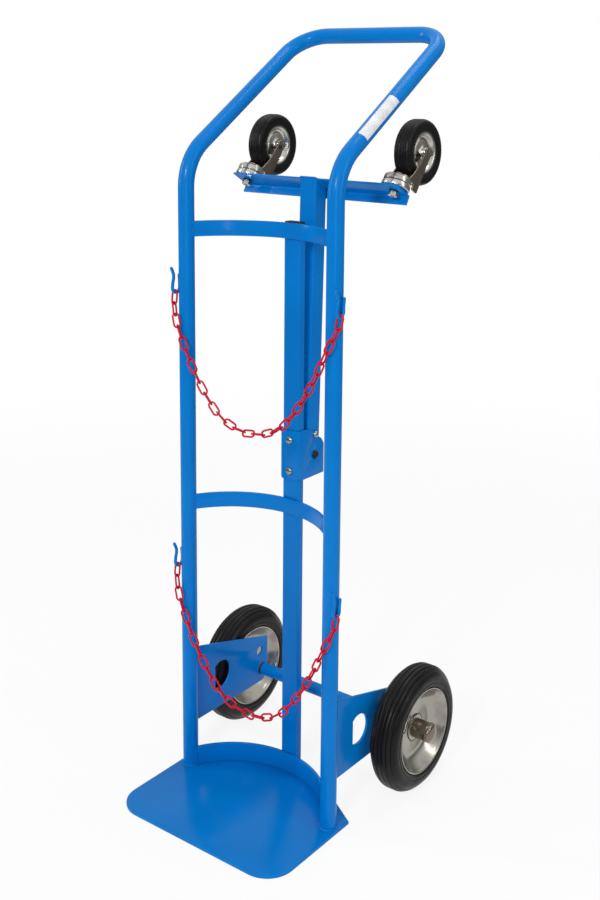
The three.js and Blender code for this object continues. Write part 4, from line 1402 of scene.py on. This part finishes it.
@dataclass(frozen=True)
class Caster:
    """A swivel caster: a ball race, a pressed fork, and a rubber-tyred wheel."""

    side: Side
    leg: FoldingLeg
    seat: float = 20 * MM
    spacing: float = 140 * MM
    height: float = 76 * MM
    trail: float = 28 * MM
    wheel_radius: float = 50 * MM
    gap: float = 0.3 * MM
    race_radius: float = 22 * MM
    race_height: float = 9 * MM
    crown_radius: float = 21 * MM
    crown_height: float = 10.5 * MM
    fork_inner: float = 16.8 * MM
    fork_sheet: float = 2.5 * MM
    eye: float = 8 * MM
    foot_lift: float = 8 * MM
    cheek_root: tuple[float, float] = (1 * MM, 15 * MM)
    waist: tuple[float, float] = (31.3 * MM, 30 * MM)
    pin: float = 4 * MM
    tread_half: float = 11.5 * MM
    tread_flat: float = 5 * MM
    tread_drop: float = 2.0 * MM
    tread_steps: int = 56
    grooves: tuple[float, ...] = (-8.2, -3.0, 3.0, 8.2)
    groove_depth: float = 0.8 * MM
    groove_width: float = 0.55 * MM

    def place(self) -> Matrix:
        """The caster's own frame: the swivel axis is local Z, from the bar up."""
        return self.leg.bar_place() @ Matrix.Translation((self.side.value * self.spacing, self.seat, 0))

    @property
    def crown_low(self) -> float:
        """Height of the crown's underside."""
        return self.race_height + 2 * self.gap

    @property
    def crown_top(self) -> float:
        """Height of the crown's upper face."""
        return self.crown_low + self.crown_height

    def build(self) -> None:
        """Builds the caster."""
        self.race()
        self.fork()
        self.kingpin()
        self.wheel()
        self.axle_bolt()

    def race(self) -> None:
        """The lower ball race: two rolled rings."""
        r, h, bore = self.race_radius, self.race_height, self.pin + self.gap
        low, top = self.gap, h + self.gap
        profile = [(bore, low), (r - 1.6 * MM, low), (r - 0.4 * MM, low + 0.9 * MM), (r, low + 2.4 * MM),
                   (r - 0.3 * MM, h - 1.2 * MM), (r - 1.2 * MM, h - 0.2 * MM), (r - 2.6 * MM, top), (bore, top)]
        word = self.side.word
        # The race takes the lighter zinc copy: painted light.
        ring = turned(f"{word}_race_ring", profile, self.place(), ZINC_PAINTED_LIGHT, 72)
        settle(ring, "leg", f"{word}_caster_race", finish=ZINC)

    def fork(self) -> None:
        """The fork: a rolled crown, a shelf and two cheeks drawn together into one pressing."""
        word, low, top = self.side.word, self.crown_low, self.crown_top
        r, bore = self.crown_radius, self.pin + self.gap
        rolled = [(bore, low), (r - 1.6 * MM, low), (r - 0.2 * MM, low + 1.0 * MM), (r, low + 2.6 * MM),
                  (r - 0.5 * MM, top - 2.2 * MM), (r - 2.4 * MM, top - 0.5 * MM), (r - 5 * MM, top), (bore, top)]
        # The crown and the shelf take the lighter zinc copy: painted light and painted highlight.
        crown = turned(f"{word}_crown", rolled, self.place(), ZINC_PAINTED_LIGHT, 72)
        outer = self.fork_inner + self.fork_sheet
        shelf_outline = rounded_outline([(-outer, -12 * MM, 6 * MM), (outer, -12 * MM, 6 * MM),
                                         (outer, 16 * MM, 3 * MM), (-outer, 16 * MM, 3 * MM)])
        shelf_place = self.place() @ Matrix.Translation((0, 0, top - self.fork_sheet))
        shelf = sheet(f"{word}_shelf", shelf_outline, shelf_place, self.fork_sheet, ZINC_PAINTED_LIGHT, edge=0.8 * MM)
        cheeks = [self.cheek(f"{word}_{name}_cheek", sign) for name, sign in (("inner", -1), ("outer", 1))]
        piece = joined(f"{word}_pressed_fork", crown, shelf, *cheeks)
        settle(piece, f"{word}_caster", f"{word}_fork", finish=ZINC)

    def cheek(self, name: str, sign: int) -> bpy.types.Object:
        """One cheek: broad behind the crown, drawn in to a round eye at the wheel's axle.

        Args:
            name: The cheek's name.
            sign: Its side of the wheel.

        Returns:
            The cheek.
        """
        foot = self.crown_top - self.fork_sheet
        near, far = self.cheek_root
        front = self.trail - self.eye
        curve = []
        start, pull = Vector((front, self.height)), Vector((front - 3 * MM, 44 * MM))
        end = Vector((near, self.crown_top))
        for i in range(1, 17):
            t = i / 16
            curve.append(tuple(start * (1 - t) ** 2 + pull * (2 * t * (1 - t)) + end * t ** 2))
        outline = [(near, foot), (far, foot), (far, self.foot_lift + 2 * MM)]
        outline += arc((far + 2 * MM, self.foot_lift + 2 * MM), 2 * MM, 180, 270, 5)
        outline += arc((27 * MM, self.foot_lift + 3 * MM), 3 * MM, -90, 0, 6)
        outline += [self.waist] + arc((self.trail, self.height), self.eye, 0, 180, 16) + curve
        own = self.place()
        x_axis, y_axis, z_axis = own.col[0].xyz, own.col[1].xyz, own.col[2].xyz
        low = self.fork_inner if sign > 0 else -self.fork_inner - self.fork_sheet
        flat = basis(y_axis, z_axis, own.translation + x_axis * low)
        hole = arc((self.trail, self.height), 3.3 * MM, 0, 340, 17)
        # The cheeks take the darker, browner zinc copy: painted shade and painted reflection of the tyre.
        return sheet(name, outline, flat, self.fork_sheet, ZINC_PAINTED_SHADE, [hole], 0.7 * MM)

    def kingpin(self) -> None:
        """The pin's hexagon head in the fork, its shank, and the flange nut under the bar."""
        word = self.side.word
        head = hex_body(f"{word}_kingpin_head", 13 * MM, 5 * MM,
                        self.place() @ Matrix.Translation((0, 0, self.crown_top + self.gap)), ZINC)
        under = -self.leg.bar_sheet - self.gap
        end, top = under - 8 * MM, self.crown_top + 1 * MM
        rod = [(0.0, end), (self.pin - 0.7 * MM, end), (self.pin, end + 0.8 * MM), (self.pin, top), (0.0, top)]
        shank = turned(f"{word}_kingpin_shank", rod, self.place(), ZINC, 32)
        settle(joined(f"{word}_kingpin_bolt", head, shank), "leg", f"{word}_kingpin", finish=ZINC)
        # The kingpin nut takes the lighter zinc copy: painted light.
        nut = hex_body(f"{word}_kingpin_hex", 13 * MM, 6.4 * MM,
                       self.place() @ Matrix.Translation((0, 0, end)), ZINC_PAINTED_LIGHT)
        collar = [(self.pin, under), (7.4 * MM, under), (7.4 * MM, under - 1.2 * MM),
                  (6.6 * MM, under - 1.7 * MM), (self.pin, under - 1.7 * MM)]
        flange = turned(f"{word}_kingpin_collar", collar, self.place(), OXIDE, 40)
        settle(joined(f"{word}_kingpin_flange_nut", nut, flange), "leg", f"{word}_kingpin_nut", finish=ZINC)

    def axle_place(self) -> Matrix:
        """The caster wheel's axle: local Z runs along it, outward to the truck's right."""
        own = self.place()
        return basis(own.col[1].xyz, own.col[2].xyz, own @ Vector((0, self.trail, self.height)))

    def tyre_profile(self) -> list[tuple[float, float]]:
        """The small tyre's section, with the fine grooves of its crown."""
        crown = []
        for i in range(self.tread_steps + 1):
            x = self.tread_half * (2 * i / self.tread_steps - 1)
            groove = sum(math.exp(-((x - g * MM) / self.groove_width) ** 2) for g in self.grooves)
            drop = max(0.0, (abs(x) - self.tread_flat) / (self.tread_half - self.tread_flat))
            crown.append((self.wheel_radius - self.tread_drop * drop ** 2 - self.groove_depth * groove, x))
        wall = [(46.6, 12.9), (44.6, 13.6), (41.8, 13.95), (38.0, 13.9), (35.5, 13.6), (34.6, 13.1), (33.8, 13.4),
                (32.6, 13.0), (31.4, 12.2)]
        right = [(r * MM, x * MM) for r, x in wall]
        return crown + right + [(r, -x) for r, x in reversed(right)]

    def wheel(self) -> None:
        """The tyre and its pressed rim with its hub."""
        word = self.side.word
        body = f"{word}_caster_wheel"
        place = self.axle_place()
        tyre = turned(f"{word}_caster_rubber", self.tyre_profile(), place, RUBBER, 96, 50)
        settle(tyre, body, f"{word}_caster_tyre", finish=RUBBER)
        face = [(3.4, 16.5), (6.2, 16.5), (7.4, 16.0), (8.0, 14.8), (8.3, 10.6), (9.4, 9.0), (12.0, 8.2),
                (17.0, 7.9), (19.4, 7.3), (20.6, 5.6), (22.4, 5.0), (24.4, 5.8), (26.0, 8.6), (27.4, 10.9),
                (29.4, 11.9), (31.0, 12.0)]
        right = [(r * MM, x * MM) for r, x in face]
        profile = right + [(r, -x) for r, x in reversed(right)]
        # The caster rim takes the lighter zinc copy: painted light.
        dish = turned(f"{word}_caster_dish", profile, place, ZINC_PAINTED_LIGHT, 96, 40)
        settle(dish, body, f"{word}_caster_rim", finish=ZINC)

    def axle_bolt(self) -> None:
        """The wheel's bolt with its hexagon head, and its nut."""
        word = self.side.word
        place = self.axle_place()
        seat = self.fork_inner + self.fork_sheet + self.gap
        outside = place @ Matrix.Translation((0, 0, seat))
        head = hex_body(f"{word}_caster_bolt_head", 10 * MM, 4 * MM, outside, ZINC, (False, True))
        end, top = -seat - 6 * MM, seat + 1 * MM
        rod = [(0.0, end), (2.4 * MM, end), (3 * MM, end + 0.6 * MM), (3 * MM, top), (0.0, top)]
        shank = turned(f"{word}_caster_bolt_shank", rod, place, ZINC, 28)
        bolt = joined(f"{word}_caster_axle_bolt", head, shank)
        settle(bolt, f"{word}_caster", f"{word}_caster_bolt", finish=ZINC)
        behind = place @ Matrix.Translation((0, 0, -seat - 5 * MM))
        nut = hex_body(f"{word}_caster_nut_hex", 10 * MM, 5 * MM, behind, ZINC)
        settle(nut, f"{word}_caster", f"{word}_caster_nut", finish=ZINC)


# ------------------------------------------------------------------------------------------ label and stage


@dataclass(frozen=True)
class MakerLabel:
    """The blank sticker wrapped part of the way round the right handle arm."""

    start: float = 67 * MM
    length: float = 95 * MM
    width: float = 18 * MM
    thickness: float = 0.25 * MM
    facing: tuple[float, float, float] = (0.72, -0.38, 0.575)

    def build(self, truck: BentFrame) -> None:
        """Builds the sticker on the arm of the given frame."""
        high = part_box("main_frame_tube")[1]
        radius = truck.tube_radius
        bend = Vector((truck.upright_x, 0, truck.bend_height))
        end = Vector((truck.upright_x, high.y - radius, high.z - radius))
        along = (end - bend).normalized()
        facing = Vector(self.facing)
        facing = (facing - along * facing.dot(along)).normalized()
        beside = along.cross(facing)
        half = self.width / radius / 2
        columns, rows = 12, 24
        points = []
        for layer in (0.05 * MM, self.thickness):
            for row in range(rows + 1):
                place = bend + along * (self.start + self.length * row / rows)
                for column in range(columns + 1):
                    angle = half * (2 * column / columns - 1)
                    points.append(place + (facing * math.cos(angle) + beside * math.sin(angle)) * (radius + layer))
        faces = []
        stride, layer_size = columns + 1, (columns + 1) * (rows + 1)
        for layer in (0, 1):
            for row in range(rows):
                for column in range(columns):
                    a = layer * layer_size + row * stride + column
                    faces.append([a, a + 1, a + stride + 1, a + stride])
        rim = list(range(columns)) + [r * stride + columns for r in range(rows)]
        rim += [rows * stride + c for c in range(columns, 0, -1)] + [r * stride for r in range(rows, 0, -1)]
        for i, j in zip(rim, rim[1:] + rim[:1]):
            faces.append([i, j, j + layer_size, i + layer_size])
        settle(solid("blank_sticker_label", points, faces, STICKER, 50), "frame")


@dataclass(frozen=True)
class Studio:
    """A pale floor that fades into a white surround, a bright ceiling and soft lamps."""

    floor_radius: float = 3.4
    floor_fade: tuple[float, float] = (0.3, 0.8)
    floor_shade: float = 0.86
    floor_glow: float = 0.86
    surround: float = 0.47
    horizon: float = 0.22
    horizon_band: tuple[float, float] = (0.05, 0.6)

    def build(self) -> None:
        """Builds the floor, the world and the lamps, and sets the plain view."""
        bpy.context.scene.view_settings.view_transform = "Standard"
        self.floor()
        self.world()
        self.lamp("key_lamp", (0.9, -3.0, 2.3), (0.0, 0.0, 0.6), (0.42, 0.7), 52.0)
        self.lamp("strip_lamp", (1.9, -2.3, 1.2), (0.0, 0.0, 0.7), (0.22, 1.9), 12.0)
        self.lamp("left_lamp", (-2.6, -1.3, 1.7), (0.0, 0.0, 0.6), (0.16, 1.6), 22.0)
        self.lamp("right_lamp", (2.7, 0.3, 1.6), (0.0, 0.0, 0.5), (0.6, 1.6), 12.0)
        self.lamp("top_lamp", (0.2, 0.9, 3.0), (0.0, 0.1, 0.3), (1.4, 1.0), 20.0)

    def lamp(self, name: str, place: tuple[float, float, float], target: tuple[float, float, float],
             size: tuple[float, float], power: float) -> None:
        """A soft rectangular lamp.

        Args:
            name: The lamp's name.
            place: Where it stands.
            target: Where it points.
            size: Its width and height.
            power: Its power in watts.
        """
        data = bpy.data.lights.new(name, "AREA")
        data.shape = "RECTANGLE"
        data.size, data.size_y = size
        data.energy = power
        lamp = bpy.data.objects.new(name, data)
        lamp.location = place
        lamp.rotation_euler = (Vector(target) - Vector(place)).to_track_quat("-Z", "Y").to_euler()
        bpy.context.scene.collection.objects.link(lamp)

    def seen(self, nodes: Nodes) -> Socket:
        """1 where the camera, a reflection or a refraction looks, and 0 for the light that falls on things."""
        path = nodes.add("LightPath")
        either = nodes.add("Math", operation="MAXIMUM")
        nodes.link(path.outputs["Is Camera Ray"], either.inputs[0])
        nodes.link(path.outputs["Is Glossy Ray"], either.inputs[1])
        all_three = nodes.add("Math", operation="MAXIMUM")
        nodes.link(either.outputs[0], all_three.inputs[0])
        nodes.link(path.outputs["Is Transmission Ray"], all_three.inputs[1])
        return all_three.outputs[0]

    def floor(self) -> None:
        """The floor: pale, with the truck's soft shadow, clear beyond its rim."""
        nodes = Nodes("pale_floor")
        matt = nodes.add("BsdfDiffuse")
        matt.inputs["Color"].default_value = (self.floor_shade, self.floor_shade, self.floor_shade, 1)
        glow = nodes.add("Emission")
        glow.inputs["Color"].default_value = (1, 1, 1, 1)
        lit = nodes.add("MixShader")
        lit.inputs["Fac"].default_value = self.floor_glow
        nodes.link(matt.outputs[0], lit.inputs[1])
        nodes.link(glow.outputs[0], lit.inputs[2])
        shown = nodes.add("MixShader")
        nodes.link(self.seen(nodes), shown.inputs["Fac"])
        nodes.link(matt.outputs[0], shown.inputs[1])
        nodes.link(lit.outputs[0], shown.inputs[2])
        length = nodes.add("VectorMath", operation="LENGTH")
        nodes.link(nodes.place(), length.inputs[0])
        fade = nodes.add("MapRange", interpolation_type="SMOOTHSTEP")
        fade.inputs["From Min"].default_value = self.floor_radius * self.floor_fade[0]
        fade.inputs["From Max"].default_value = self.floor_radius * self.floor_fade[1]
        nodes.link(length.outputs["Value"], fade.inputs["Value"])
        clear = nodes.add("BsdfTransparent")
        rim = nodes.add("MixShader")
        nodes.link(fade.outputs["Result"], rim.inputs["Fac"])
        nodes.link(shown.outputs[0], rim.inputs[1])
        nodes.link(clear.outputs[0], rim.inputs[2])
        nodes.link(rim.outputs[0], nodes.output.inputs["Surface"])
        mesh = bpy.data.meshes.new("floor")
        ring = [(self.floor_radius * math.cos(math.radians(a)), self.floor_radius * math.sin(math.radians(a)), 0.0)
                for a in range(0, 360, 6)]
        mesh.from_pydata(ring, [], [list(range(len(ring)))])
        mesh.materials.append(nodes.material)
        floor = bpy.data.objects.new("floor", mesh)
        bpy.context.scene.collection.objects.link(floor)

    def world(self) -> None:
        """A white surround for the eye, reflections that darken to the horizon, and a gentler light on the truck."""
        world = bpy.data.worlds.new("surround")
        world.use_nodes = True
        bpy.context.scene.world = world
        tree = world.node_tree
        tree.nodes.clear()
        background = tree.nodes.new("ShaderNodeBackground")
        background.inputs["Color"].default_value = (1, 1, 1, 1)
        output = tree.nodes.new("ShaderNodeOutputWorld")
        tree.links.new(background.outputs[0], output.inputs["Surface"])
        direction = tree.nodes.new("ShaderNodeSeparateXYZ")
        tree.links.new(tree.nodes.new("ShaderNodeTexCoord").outputs["Generated"], direction.inputs[0])
        room = tree.nodes.new("ShaderNodeMapRange")
        room.interpolation_type = "SMOOTHSTEP"
        room.inputs["From Min"].default_value, room.inputs["From Max"].default_value = self.horizon_band
        room.inputs["To Min"].default_value, room.inputs["To Max"].default_value = self.horizon, 1.0
        tree.links.new(direction.outputs["Z"], room.inputs["Value"])
        path = tree.nodes.new("ShaderNodeLightPath")
        level: Socket | float = self.surround
        rays = (("Is Glossy Ray", room.outputs["Result"]), ("Is Transmission Ray", 1.0), ("Is Camera Ray", 1.0))
        for ray, seen in rays:
            mix = tree.nodes.new("ShaderNodeMix")
            tree.links.new(path.outputs[ray], mix.inputs["Factor"])
            for key, value in (("A", level), ("B", seen)):
                if isinstance(value, float):
                    mix.inputs[key].default_value = value
                else:
                    tree.links.new(value, mix.inputs[key])
            level = mix.outputs["Result"]
        tree.links.new(level, background.inputs["Strength"])


def dress_kept_nodes() -> None:
    """Gives the plain inner pieces that stay as they are their finishes."""
    for side in Side:
        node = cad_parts[f"{side.word}_roller_cage"]
        node.data.materials.clear()
        node.data.materials.append(PLASTIC.material())
        log.info("%s keeps its shape", node.name)


def main() -> None:
    """Builds the truck and its stage."""
    logging.basicConfig(level=logging.INFO, format="%(message)s")
    Viewpoint().build()
    slack = {Level.UPPER: 1.0, Level.LOWER: 1.034}
    for level in Level:
        LinkChain(level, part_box(f"{level.value}_right_hook")[0].z, slack[level]).build()
    truck = BentFrame()
    truck.build()
    WheelPlates().build()
    for level in Level:
        for side in Side:
            ChainHook(level, side).build()
    LegBracket().build()
    leg = FoldingLeg()
    leg.build()
    for side in Side:
        MainWheel(side).build()
        Caster(side, leg).build()
    MakerLabel().build(truck)
    dress_kept_nodes()
    Studio().build()


if __name__ == "__main__":
    main()
